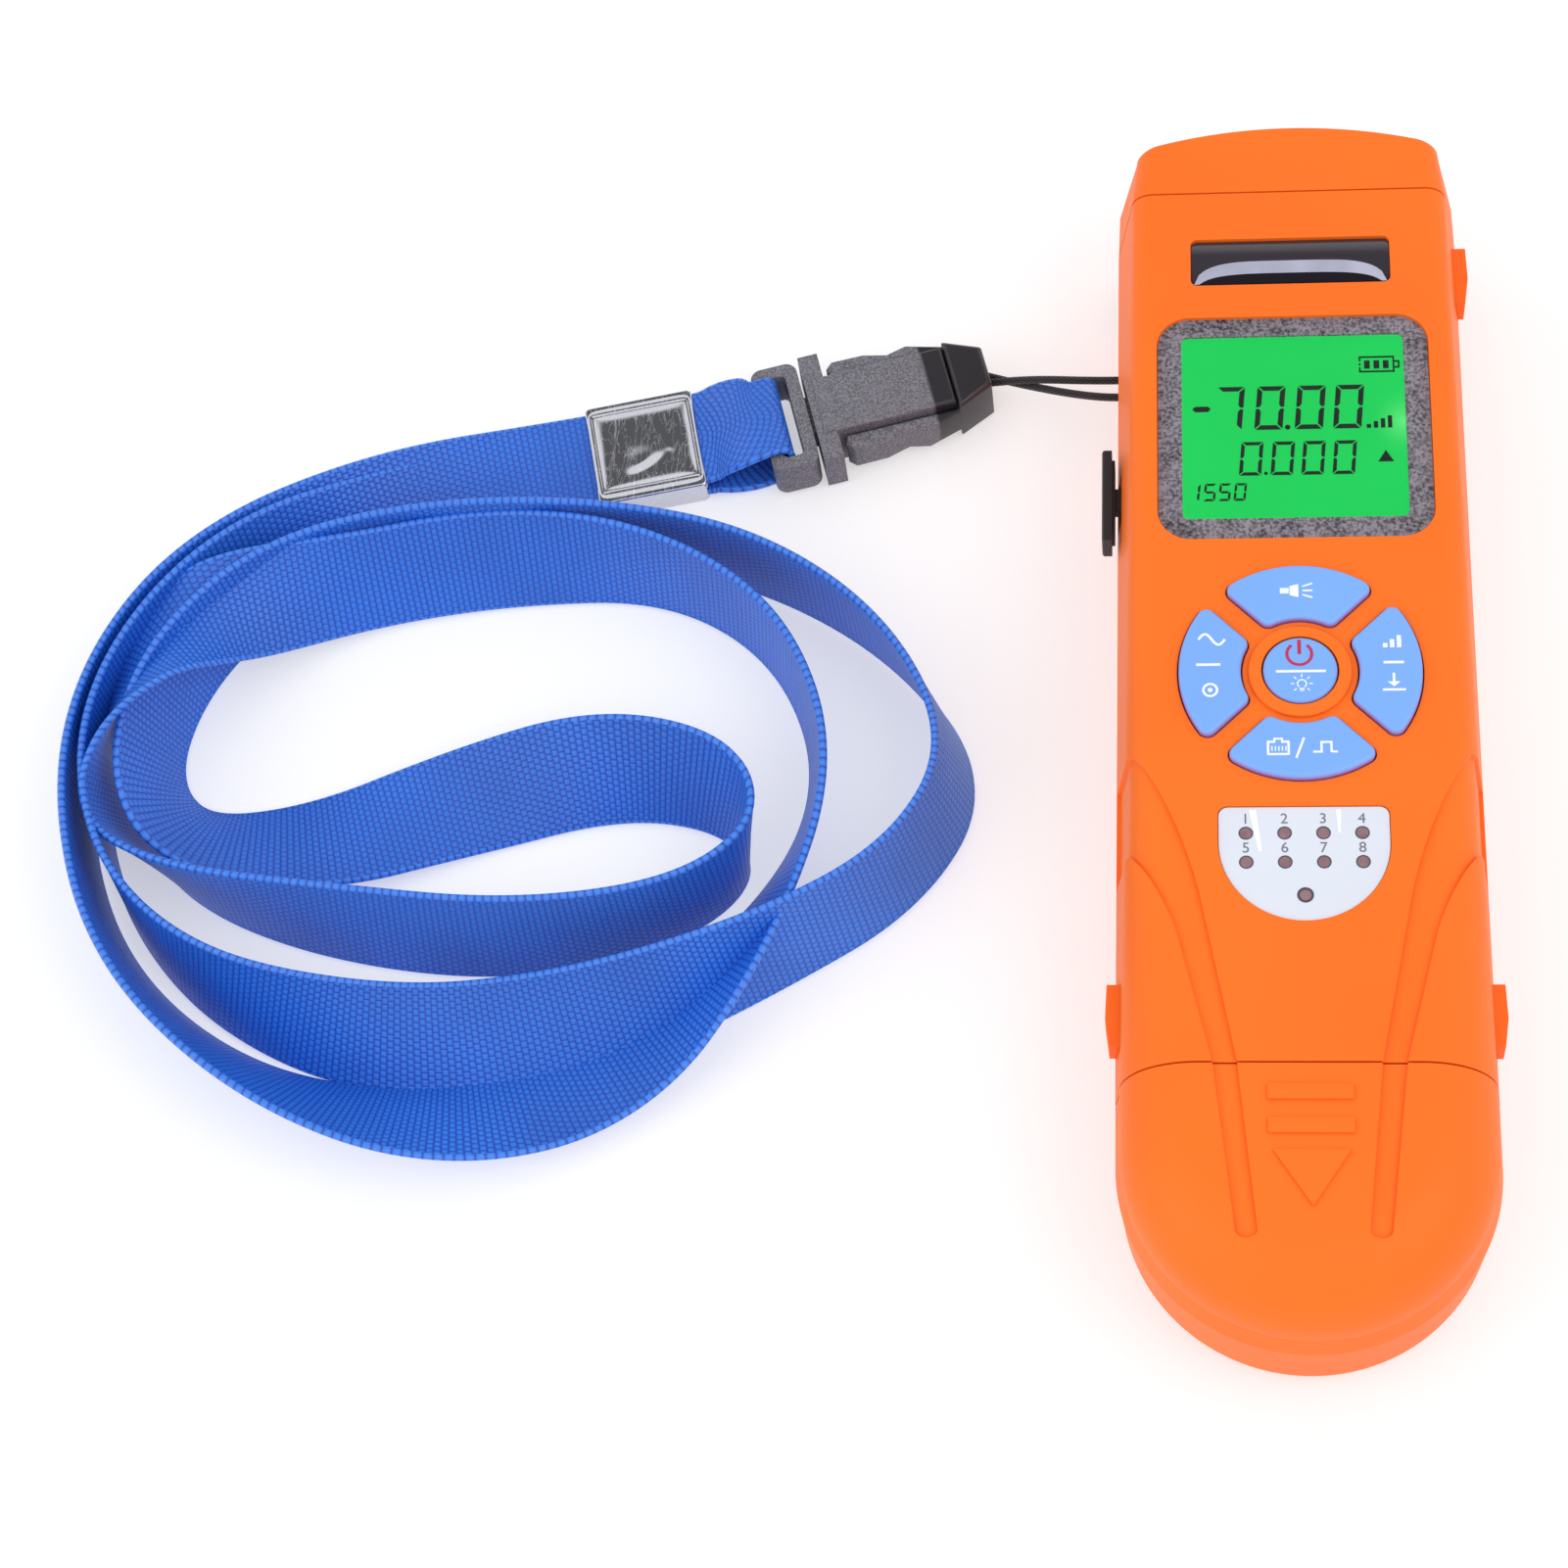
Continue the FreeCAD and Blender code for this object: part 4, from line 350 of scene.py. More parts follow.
def moulded(name, colour, drift, grain_size=900.0, rise=0.012, roughness=0.45, swing=0.06, drift_size=18.0,
            **constants):
    """Plastic, epoxy or rubber: colour drifts slowly, fine grain lifts a bump and varies the roughness."""
    material, tree, shader = start_material(name, **constants)
    grain = group_node(tree, "Moulded Grain", Grain_Size=grain_size, Drift_Size=drift_size)
    dress(tree, shader, blend_colours(tree, grain["Shade"], colour, drift),
          spread(tree, grain["Height"], roughness - swing, roughness + swing), grain["Height"], rise)
    return material


def printed(name, colour, **constants):
    """Screen print: flat colour with the faint mottle of ink."""
    return moulded(name, colour, darker(colour, 0.94), grain_size=2500.0, rise=0.004, drift_size=400.0,
                   **constants)


def lit_display(look):
    """Lit display glass: even green with a brighter spot beside the backlight's lamp.

    The spot fades with the square of the distance from its middle, which is scaled by its reach.
    """
    material, tree, shader = start_material("lit display", Roughness=0.3, Emission_Strength=1.0)
    shader.inputs["Base Color"].default_value = (*darker(look.green, 0.02), 1.0)
    low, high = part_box("lcd_glass")
    inset, way_up, reach, squash = 1.2 * MM, 0.52, 4.5 * MM, 0.8
    spot = (high.x - inset, low.y + way_up * (high.y - low.y), high.z)
    scale = (1 / reach, squash / reach, 1 / reach)
    shift = tuple(-part * times for part, times in zip(spot, scale))
    local = new_node(tree, "ShaderNodeMapping", {"Vector": object_place(tree), "Location": shift,
                                                 "Scale": scale})
    glow = new_node(tree, "ShaderNodeTexGradient", {0: local.outputs[0]}, gradient_type="QUADRATIC_SPHERE")
    grain = group_node(tree, "Moulded Grain", Grain_Size=300.0, Drift_Size=60.0)
    base = blend_colours(tree, grain["Shade"], look.green, darker(look.green, 0.95))
    tree.links.new(blend_colours(tree, glow.outputs["Fac"], base, look.glow), shader.inputs["Emission Color"])
    add_bump(tree, shader, grain["Height"], 0.002)
    return material


def textured_frame(look):
    """Spark-eroded frame under the lens: pale and dark specks about a fifth of a millimetre across."""
    material, tree, shader = start_material("textured frame", Specular_IOR_Level=0.3)
    grain = group_node(tree, "Moulded Grain", Grain_Size=2600.0, Drift_Size=260.0)
    speck = spread(tree, grain["Height"], start=0.38, end=0.6)
    pale = maths(tree, "MULTIPLY", speck, 0.75)
    patchy = maths(tree, "MULTIPLY_ADD", grain["Shade"], 0.35, pale, clamp=True)
    dress(tree, shader, blend_colours(tree, patchy, look.frame_dark, look.frame_pale),
          spread(tree, speck, 0.65, 0.4), grain["Height"], 0.05)
    return material


def clear_plastic(name, tint, roughness):
    """Clear moulding of a faintly uneven polish; soft light passes it, so what lies under it is lit."""
    material, tree, shader = start_material(name, Transmission_Weight=1.0, IOR=1.46)
    grain = group_node(tree, "Moulded Grain", Grain_Size=150.0, Drift_Size=30.0)
    colour = blend_colours(tree, grain["Shade"], tint, darker(tint, 0.985))
    tree.links.new(colour, shader.inputs["Base Color"])
    tree.links.new(spread(tree, grain["Height"], roughness, roughness + 0.004), shader.inputs["Roughness"])
    rays = new_node(tree, "ShaderNodeLightPath").outputs
    soft = maths(tree, "MAXIMUM", rays["Is Diffuse Ray"], rays["Is Shadow Ray"])
    tree.links.new(maths(tree, "SUBTRACT", 1.0, soft), shader.inputs["Alpha"])
    return material


def key_rubber(look):
    """Key moulding: light blue faces, and sides below the rounded rim painted with the orange housing's
    bounce light and the edge's shade.
    """
    material, tree, shader = start_material("key rubber", Specular_IOR_Level=0.45)
    grain = group_node(tree, "Moulded Grain", Grain_Size=1200.0, Drift_Size=60.0)
    height = new_node(tree, "ShaderNodeSeparateXYZ", {0: object_place(tree)}).outputs[2]
    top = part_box("key_power")[1].z
    painted_bounce_start, painted_bounce_end = top - 0.12 * MM, top - 0.75 * MM
    # Painted bounce light and shade: the sides fade to the warm rim colour below the top.
    side = spread(tree, height, start=painted_bounce_start, end=painted_bounce_end)
    face = blend_colours(tree, grain["Shade"], look.blue, darker(look.blue, 0.95))
    dress(tree, shader, blend_colours(tree, side, face, look.rim), spread(tree, grain["Height"], 0.38, 0.52),
          grain["Height"], 0.012)
    return material


def marked_metal(name, colour, roughness, vein_size=160.0, fineness=0.02, rise=0.01, mark=0.5):
    """Plated metal: polished ground with hairline marks that are rougher and a little paler."""
    material, tree, shader = start_material(name, Metallic=1.0)
    marks = group_node(tree, "Handling Marks", Vein_Size=vein_size, Fineness=fineness)["Mask"]
    paler = tuple(min(1.0, value * 1.15 + 0.05) for value in colour)
    dress(tree, shader, blend_colours(tree, marks, colour, paler), spread(tree, marks, roughness, mark),
          marks, rise)
    return material


def woven_webbing(look):
    """Polyester webbing: ribs of small thread bricks with painted shade between them, paler selvages, a satin
    sheen, and painted satin highlights and shade as slow patches.
    """
    material, tree, shader = start_material("woven webbing", Sheen_Weight=0.3, Sheen_Roughness=0.3,
                                            Specular_IOR_Level=0.6)
    shader.inputs["Sheen Tint"].default_value = (*look.selvage, 1.0)
    weave = group_node(tree, "Webbing Weave")
    grain = group_node(tree, "Moulded Grain", Grain_Size=3500.0, Drift_Size=45.0)
    # Painted satin highlights and shade: slow random patches of lighter and darker thread.
    thread = blend_colours(tree, grain["Shade"], look.webbing, darker(look.webbing, 0.72))
    # Painted shade between the threads, by the weave's gap mask.
    woven = blend_colours(tree, spread(tree, weave["Gap"], start=0.15, end=0.95), thread, look.gap)
    dress(tree, shader, blend_colours(tree, weave["Selvage"], woven, look.selvage),
          spread(tree, grain["Height"], 0.36, 0.5), weave["Height"], 0.11)
    return material


def grained_buckle(look):
    """Buckle: spark-eroded plates with pale specks, and a smooth darker tip on the cord's side.

    The mask is the distance past the tip along the buckle, taken from the object's coordinates.
    """
    material, tree, shader = start_material("grained buckle", Specular_IOR_Level=0.4)
    grain = group_node(tree, "Moulded Grain", Grain_Size=3800.0, Drift_Size=300.0)
    past = new_node(tree, "ShaderNodeVectorMath", {0: object_place(tree), 1: tuple(BUCKLE_WAY)},
                    operation="DOT_PRODUCT").outputs["Value"]
    start, tip_long, blend = float(BUCKLE_TIP @ BUCKLE_WAY), 8.2, 0.5
    plates = spread(tree, past, start=(start + tip_long) * MM, end=(start + tip_long + blend) * MM)
    speck = spread(tree, grain["Height"], start=0.42, end=0.62)
    patchy = maths(tree, "MULTIPLY", maths(tree, "MULTIPLY_ADD", speck, 0.65, 0.42), plates)
    dress(tree, shader, blend_colours(tree, patchy, look.buckle_tip, look.buckle),
          spread(tree, plates, 0.3, 0.55), maths(tree, "MULTIPLY", grain["Height"], plates), 0.05)
    return material


def braided_cord(look):
    """Braided cord: two crossing helices of yarn on the UV map, with painted shade where they dive."""
    material, tree, shader = start_material("braided cord", Sheen_Weight=0.2)
    place = new_node(tree, "ShaderNodeUVMap").outputs[0]
    around, along = new_node(tree, "ShaderNodeSeparateXYZ", {0: place}).outputs[:2]
    turns = maths(tree, "MULTIPLY", around, 8.0 * math.pi)
    yarns = [ripple(tree, maths(tree, "MULTIPLY_ADD", along, pitch, turns), 1.0) for pitch in (4.4, -4.4)]
    braid_and_painted_shade = maths(tree, "MULTIPLY", *yarns)
    # Painted shade: the yarn darkens where it dives under the other.
    dress(tree, shader, blend_colours(tree, braid_and_painted_shade, darker(look.cord, 0.45), look.cord),
          spread(tree, braid_and_painted_shade, 0.8, 0.5), braid_and_painted_shade, 0.12)
    return material


def add_piece(name, mesh, material, body="housing"):
    """Object of a finished mesh in one material; it rides on a body."""
    mesh.materials.clear()
    mesh.materials.append(material)
    piece = bpy.data.objects.new(name, mesh)
    bpy.context.scene.collection.objects.link(piece)
    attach(piece, body)
    return piece


def mesh_piece(name, points, faces, material, body="housing", smooth=True, uv=None):
    """Piece from arrays of points in millimetres and of faces, with a UV for each point if one is given."""
    mesh = bpy.data.meshes.new(name)
    mesh.from_pydata((np.asarray(points, float) * MM).tolist(), [], [list(face) for face in faces])
    mesh.polygons.foreach_set("use_smooth", np.full(len(mesh.polygons), smooth))
    if uv is not None:
        layer = mesh.uv_layers.new(name="weave")
        corners = np.empty(len(mesh.loops), dtype=np.int32)
        mesh.loops.foreach_get("vertex_index", corners)
        layer.data.foreach_set("uv", np.asarray(uv, float)[corners].ravel())
    mesh.update()
    return add_piece(name, mesh, material, body)


def finish_nodes(material, *names):
    """Give CAD nodes their finish."""
    for name in names:
        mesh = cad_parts[name].data
        mesh.materials.clear()
        mesh.materials.append(material)


def rounded_node(name, material, radius):
    """Copy of a CAD node with rounded edges, in its place.

    Its points are merged and its flat faces joined; then each edge sharper than 40 degrees is rounded.
    """
    shell = bmesh.new()
    shell.from_mesh(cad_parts[name].data)
    bmesh.ops.remove_doubles(shell, verts=shell.verts, dist=0.002 * MM)
    bmesh.ops.dissolve_limit(shell, angle_limit=math.radians(1.5), verts=shell.verts, edges=shell.edges)
    sharp = [edge for edge in shell.edges if len(edge.link_faces) == 2
             and edge.calc_face_angle(0.0) > math.radians(40)]
    bmesh.ops.bevel(shell, geom=sharp, offset=radius * MM, offset_type="OFFSET", segments=3, profile=0.5,
                    affect="EDGES", clamp_overlap=True)
    mesh = bpy.data.meshes.new(name + "_rounded")
    shell.to_mesh(mesh)
    shell.free()
    mesh.polygons.foreach_set("use_smooth", np.full(len(mesh.polygons), True))
    mesh.set_sharp_from_angle(angle=math.radians(35))
    piece = add_piece(name + "_rounded", mesh, material)
    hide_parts(name)
    return piece


def ring_quads(low, high):
    """Quads between two rings of point numbers, from the lower ring up to the higher one."""
    return np.stack([low, np.roll(low, -1), np.roll(high, -1), high], axis=-1).tolist()


def grid_faces(rows, columns, wrap=False):
    """Quads of a grid of points laid row by row; wrap joins the last column to the first."""
    across = columns if wrap else columns - 1
    row, column = np.meshgrid(np.arange(rows - 1), np.arange(across), indexing="ij")
    ahead = (column + 1) % columns
    here = row * columns
    return np.stack([here + column, here + ahead, here + columns + ahead, here + columns + column],
                    axis=-1).reshape(-1, 4)


def capped_tube(grid, flip=False):
    """Points and faces of a closed tube from a rows by columns grid of points, each end closed by a fan."""
    rows, columns = grid.shape[:2]
    points = np.concatenate([grid.reshape(-1, 3), grid[0].mean(0)[None], grid[-1].mean(0)[None]])
    ring = np.arange(columns)
    ahead = np.roll(ring, -1)
    last = (rows - 1) * columns
    first_cap = np.stack([np.full(columns, rows * columns), ahead, ring], axis=-1)
    last_cap = np.stack([np.full(columns, rows * columns + 1), last + ring, last + ahead], axis=-1)
    faces = grid_faces(rows, columns, wrap=True).tolist() + first_cap.tolist() + last_cap.tolist()
    return points, [face[::-1] for face in faces] if flip else faces


def prisms(outlines, low, high):
    """Upright prisms of flat outlines (each N by 2) between two heights.

    Each prism is PRINT_STEP taller than the one before, so that crossing strokes don't share a plane.
    """
    points, faces, start = [], [], 0
    for outline in outlines:
        high = high + PRINT_STEP
        flat = np.asarray(outline, float)
        turn = np.sum(flat[:, 0] * np.roll(flat[:, 1], -1) - np.roll(flat[:, 0], -1) * flat[:, 1])
        flat = flat if turn > 0 else flat[::-1]
        count = len(flat)
        foot = start + np.arange(count)
        points += [np.column_stack([flat, np.full(count, level)]) for level in (low, high)]
        faces += [foot[::-1].tolist(), (foot + count).tolist()] + ring_quads(foot, foot + count)
        start += 2 * count
    return np.concatenate(points), faces


def print_on(name, outlines, height, rise, material, body="housing"):
    """Thin print of flat outlines at a height, sunk a little into what carries it."""
    points, faces = prisms(outlines, height - rise, height + rise)
    return mesh_piece(name, points, faces, material, body, smooth=False)


def stroke(points, width):
    """Outline of a line of even width: the points moved to each side along the mean of the runs' normals."""
    line = np.asarray(points, float)
    ahead = unit(np.gradient(line, axis=0))
    side = np.column_stack([-ahead[:, 1], ahead[:, 0]]) * width / 2
    return np.concatenate([line - side, (line + side)[::-1]])


def arc(x, y, radius, start, end, count=25):
    """Points of an arc in degrees."""
    turn = np.radians(np.linspace(start, end, count))
    return np.column_stack([x + radius * np.cos(turn), y + radius * np.sin(turn)])


def disc(x, y, radius, count=24):
    """Outline of a round dot."""
    return arc(x, y, radius, 0, 360 - 360 / count, count)


def ring_mark(x, y, outer, inner, count=33):
    """Outline of a flat ring, cut open where it starts."""
    return np.concatenate([arc(x, y, outer, 0, 360, count), arc(x, y, inner, 360, 0, count)])


def bars(*sides):
    """Outlines of upright rectangles, each from its left, bottom, right and top."""
    return [np.array([(left, bottom), (right, bottom), (right, top), (left, top)], float)
            for left, bottom, right, top in sides]


def digit(letter, left, bottom, width, tall, thick, slant):
    """Mitred seven-segment digit: the corners of its lit bars in a cell, leaned by slant times height.

    The foot, the low left side and the middle are drawn; the other four are the first two mirrored.
    """
    gap, middle, inner = 0.05 * tall ** 0.5, tall / 2, thick * 0.62
    foot = np.array([(gap, 0), (width - gap, 0), (width - thick - gap, thick), (thick + gap, thick)])
    side = np.array([(0, gap), (0, middle - gap), (inner, middle - gap), (thick, middle - gap - inner),
                     (thick, thick + gap)])
    belt = np.array([(gap + inner / 2, middle), (thick + gap, middle + thick / 2),
                     (width - thick - gap, middle + thick / 2), (width - gap - inner / 2, middle),
                     (width - thick - gap, middle - thick / 2), (thick + gap, middle - thick / 2)])
    upward, sideways = np.array([1.0, -1.0]), np.array([-1.0, 1.0])
    shapes = {"a": foot * upward + (0, tall), "b": (width, tall) - side, "c": side * sideways + (width, 0),
              "d": foot, "e": side, "f": side * upward + (0, tall), "g": belt}
    return [np.column_stack([left + shapes[name][:, 0] + slant * shapes[name][:, 1],
                             bottom + shapes[name][:, 1]]) for name in SEGMENTS[letter]]


def unit(vectors):
    """Vectors of the same ways, each 1 long."""
    return vectors / np.linalg.norm(vectors, axis=-1, keepdims=True)


def route_line(points):
    """Points of one open quadratic NURBS line over its control points, as Blender evaluates it."""
    curve = bpy.data.curves.new("route", "CURVE")
    curve.dimensions = "3D"
    curve.resolution_u = 16
    spline = curve.splines.new("NURBS")
    spline.points.add(len(points) - 1)
    spline.points.foreach_set("co", np.column_stack([points, np.ones(len(points))]).ravel())
    spline.order_u = 3
    spline.use_endpoint_u = True
    holder = bpy.data.objects.new("route", curve)
    mesh = bpy.data.meshes.new_from_object(holder)
    line = np.empty(len(mesh.vertices) * 3)
    mesh.vertices.foreach_get("co", line)
    bpy.data.meshes.remove(mesh)
    bpy.data.objects.remove(holder)
    bpy.data.curves.remove(curve)
    return line.reshape(-1, 3)


def walked_along(line):
    """Length walked from the start of a line to each of its points."""
    return np.concatenate([[0.0], np.cumsum(np.linalg.norm(np.diff(line, axis=0), axis=1))])


def evenly(line, *others, step):
    """Resample a line to an even step along its length, and others that run with it."""
    walked = walked_along(line)
    at = np.linspace(0.0, walked[-1], int(walked[-1] / step) + 1)
    resampled = [np.column_stack([np.interp(at, walked, column) for column in item.T])
                 for item in (line, *others)]
    return (at, *resampled)


def level_left(line):
    """Level unit vectors to the left of each place of a line."""
    ahead = np.gradient(line, axis=0)
    return unit(np.column_stack([-ahead[:, 1], ahead[:, 0], np.zeros(len(line))]))


def leaning(line, lean):
    """Width vectors of a band: cos(lean) times the level left-hand side plus sin(lean) times up."""
    turn = np.radians(lean)[:, None]
    return np.cos(turn) * level_left(line) + np.sin(turn) * UP


def tube_uv(around, along, walked):
    """UV of a tube's grid of points and of its two end points."""
    uv = np.stack(np.broadcast_arrays(around[None, :], along), axis=-1).reshape(-1, 2)
    return np.concatenate([uv, [(0.0, walked[0]), (0.0, walked[-1])]])


def webbing_band(name, line, across, look, material, narrow=1.0, gather=0.0):
    """Flat band along a line: a thin stadium that stands along the width vector of each place.

    The width vectors are made square to the line. The half thickness is plain in the middle, plus a bead that
    falls off as a bell curve round the edge threads, and closes at the very edge as a high power. narrow is
    the share of the width that is left at each place. gather pulls the ribs into a chevron: how far each runs
    ahead per millimetre from the middle.
    """
    ahead = unit(np.gradient(line, axis=0))
    across = unit(across - np.sum(across * ahead, axis=1)[:, None] * ahead)
    normal = np.cross(ahead, across)
    half, core = look.width / MM / 2, look.thickness / MM / 2
    plain, bead, bead_place, bead_reach = 0.86, 0.3, half * 0.94, half * 0.03
    over = half * np.sin(np.linspace(-math.pi / 2, math.pi / 2, 19))
    proud = core * (plain + bead * np.exp(-(((np.abs(over) - bead_place) / bead_reach) ** 2)))
    thick = proud * np.sqrt(np.clip(1 - (np.abs(over) / half) ** 24, 0.0, 1.0))
    place = np.concatenate([over, over[::-1][1:-1]])
    rise = np.concatenate([thick, -thick[::-1][1:-1]])
    share = np.broadcast_to(narrow, len(line))[:, None, None]
    flat = line[:, None] + across[:, None] * place[None, :, None] * share
    points, faces = capped_tube(flat + normal[:, None] * rise[None, :, None], flip=True)
    walked = walked_along(line)
    ribs = walked[:, None] + gather * np.sqrt(place[None, :] ** 2 + 1.0)
    return mesh_piece(name, points, faces, material, uv=tube_uv(place, ribs, walked))


def round_cord(name, line, radius, material):
    """Round cord: a circle carried along the line, square to it, with level and upright spokes."""
    ahead = unit(np.gradient(line, axis=0))
    left = level_left(line)
    upright = np.cross(ahead, left)
    turn = np.linspace(0, 2 * math.pi, 17)[:-1]
    spokes = left[:, None] * np.cos(turn)[None, :, None] + upright[:, None] * np.sin(turn)[None, :, None]
    points, faces = capped_tube(line[:, None] + radius * spokes)
    walked = walked_along(line)
    uv = tube_uv(turn / (2 * math.pi), walked[:, None], walked)
    return mesh_piece(name, points, faces, material, uv=uv)


class MeterPiece:
    """What the operators share: they run from the sidebar and from a script, and can be undone."""
    bl_options = {"REGISTER", "UNDO"}


class METER_OT_stage(MeterPiece, bpy.types.Operator):
    """Make the table, the soft lamps and the camera of the product shot"""
    bl_idname = "meter.stage"
    bl_label = "Stage"
    TABLE_HALF = 2.5
    TABLE_TOP = -0.2 * MM
    LAMP_AIM = Vector((-0.06, 0.0, 0.0))
    KEY_PLACE = Vector((0.50, -0.22, 0.74))
    FILL_PLACE = Vector((-0.70, -0.30, 0.52))

    def execute(self, context):
        look = context.scene.meter_stage
        context.scene.view_settings.view_transform = "Standard"
        half, top = self.TABLE_HALF, self.TABLE_TOP
        floor = bpy.data.meshes.new("table")
        corners = [(-half, -half, top), (half, -half, top), (half, half, top), (-half, half, top)]
        floor.from_pydata(corners, [], [(0, 1, 2, 3)])
        table = bpy.data.objects.new("table", floor)
        context.scene.collection.objects.link(table)
        floor.materials.append(self.table_finish(look))
        self.light_world(context, look)
        self.add_lamp(context, "key_lamp", look.key, self.KEY_PLACE, size=0.6)
        self.add_lamp(context, "fill_lamp", look.fill, self.FILL_PLACE, size=0.7)
        self.add_camera(context)
        return {"FINISHED"}

    def table_finish(self, look):
        """Pale table: a matt ground that keeps the shadow, lifted to white by a little light of its own."""
        material, tree, shader = start_material("pale table", Roughness=0.9, Specular_IOR_Level=0.0,
                                                Emission_Strength=look.lift)
        shader.inputs["Emission Color"].default_value = (1.0, 1.0, 1.0, 1.0)
        grain = group_node(tree, "Moulded Grain", Grain_Size=60.0, Drift_Size=2.0)
        tree.links.new(blend_colours(tree, grain["Shade"], look.floor, darker(look.floor, 0.995)),
                       shader.inputs["Base Color"])
        return material

    def light_world(self, context, look):
        """White room with a dark flag over the table.

        Rays that show the room meet full white and the others the sky's light. Glossy rays meet less of it
        the nearer they run to the flag's way, by a smooth step of the cosine between the two.
        """
        world = bpy.data.worlds.new("studio")
        world.use_nodes = True
        context.scene.world = world
        tree = world.node_tree
        back = tree.nodes["Background"]
        back.inputs["Color"].default_value = (1.0, 1.0, 1.0, 1.0)
        way = new_node(tree, "ShaderNodeTexCoord").outputs["Generated"]
        facing = new_node(tree, "ShaderNodeVectorMath", {0: way, 1: FLAG_WAY}, operation="DOT_PRODUCT")
        flag = spread(tree, facing.outputs["Value"], 1.0, look.flag, start=0.87, end=0.955,
                      interpolation_type="SMOOTHSTEP")
        rays = new_node(tree, "ShaderNodeLightPath").outputs
        seen = maths(tree, "MAXIMUM", maths(tree, "MAXIMUM", rays["Is Camera Ray"], rays["Is Glossy Ray"]),
                     rays["Is Transmission Ray"])
        shade = new_node(tree, "ShaderNodeMix", {0: rays["Is Glossy Ray"], 2: 1.0, 3: flag}).outputs[0]
        tree.links.new(maths(tree, "MULTIPLY", spread(tree, seen, look.sky, 1.0), shade),
                       back.inputs["Strength"])

    def add_lamp(self, context, name, power, place, size):
        lamp = bpy.data.lights.new(name, "AREA")
        lamp.energy = power
        lamp.shape = "DISK"
        lamp.size = size
        holder = bpy.data.objects.new(name, lamp)
        holder.location = place
        holder.rotation_euler = (self.LAMP_AIM - place).to_track_quat("-Z", "Y").to_euler()
        context.scene.collection.objects.link(holder)

    def add_camera(self, context):
        lens = bpy.data.cameras.new("product_camera")
        lens.sensor_width = 36.0
        lens.lens = CAMERA_REACH * lens.sensor_width
        lens.clip_start, lens.clip_end = 0.01, 20.0
        camera = bpy.data.objects.new("product_camera", lens)
        ahead, right = Vector(CAMERA_AHEAD).normalized(), Vector(CAMERA_RIGHT).normalized()
        turn = Matrix((right, right.cross(ahead), -ahead)).transposed().to_4x4()
        camera.matrix_world = Matrix.Translation(Vector(CAMERA_PLACE)) @ turn
        context.scene.collection.objects.link(camera)
        context.scene.camera = camera


class METER_OT_housing(MeterPiece, bpy.types.Operator):
    """Give the housing, the cap, the tail unit, the door and their catches the orange moulding"""
    bl_idname = "meter.housing"
    bl_label = "Housing"

    def execute(self, context):
        look = context.scene.meter_housing
        orange = moulded("orange moulding", look.orange, look.orange_deep, grain_size=1500.0, rise=0.006,
                         roughness=0.48, drift_size=25.0, Specular_IOR_Level=0.2)
        black = moulded("black moulding", look.black, darker(look.black, 0.8), grain_size=1600.0, rise=0.02,
                        roughness=0.5)
        finish_nodes(orange, "front_shell", "rear_shell", "dust_cap", "tail_front_shell", "tail_rear_shell",
                     "battery_door", "cap_latch", "tail_latch_left", "tail_latch_right")
        finish_nodes(black, "port_panel", "slide_knob", "slide_switch", "network_jack", "remote_jack",
                     "tact_switches")
        self.polish_insert(look)
        return {"FINISHED"}

    def polish_insert(self, look):
        """Polished insert, with a painted reflection across it: a pale arch, and a dark bow of painted dark
        reflection below it.

        The edges of the two are flattened bows over x: foot + rise (1 - |x / reach| ** bend) ** fall.
        """
        gloss = {"grain_size": 80.0, "rise": 0.001, "roughness": 0.08, "swing": 0.02, "Coat_Weight": 0.6,
                 "Coat_Roughness": 0.03}
        polished = moulded("polished insert", look.insert, darker(look.insert, 0.8), **gloss)
        finish_nodes(polished, "name_insert")
        low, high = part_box("name_insert")
        side_gap, foot_gap, bow_gap, crown_rise, sill_rise = 0.35, 0.12, 0.9, 3.55, 1.6
        half, foot, top = high.x / MM - side_gap, low.y / MM + foot_gap, high.z / MM
        reach = half - bow_gap
        x = np.linspace(-half, half, 41)
        crown = foot + crown_rise * (1 - np.abs(x / half) ** 4.6) ** 0.55
        sill = foot + sill_rise * np.clip(1 - np.abs(x / reach) ** 4.0, 0.0, 1.0) ** 0.6
        arch = np.concatenate([np.column_stack([x, sill]), np.column_stack([x, crown])[::-1]])
        bow = np.concatenate([np.column_stack([x, sill])[::-1], [(-reach, foot), (reach, foot)]])
        # Painted reflection: the pale arch and the painted dark reflection below it, printed on the insert.
        pale = moulded("insert sheen", look.sheen, darker(look.sheen, 0.75), drift_size=160.0, **gloss)
        dark = moulded("insert shade", look.shade, darker(look.shade, 0.7), **gloss)
        arch_rise, bow_rise = 0.015, 0.012
        print_on("insert_painted_reflection", [arch], top, arch_rise, pale)
        print_on("insert_painted_dark_reflection", [bow], top, bow_rise, dark)


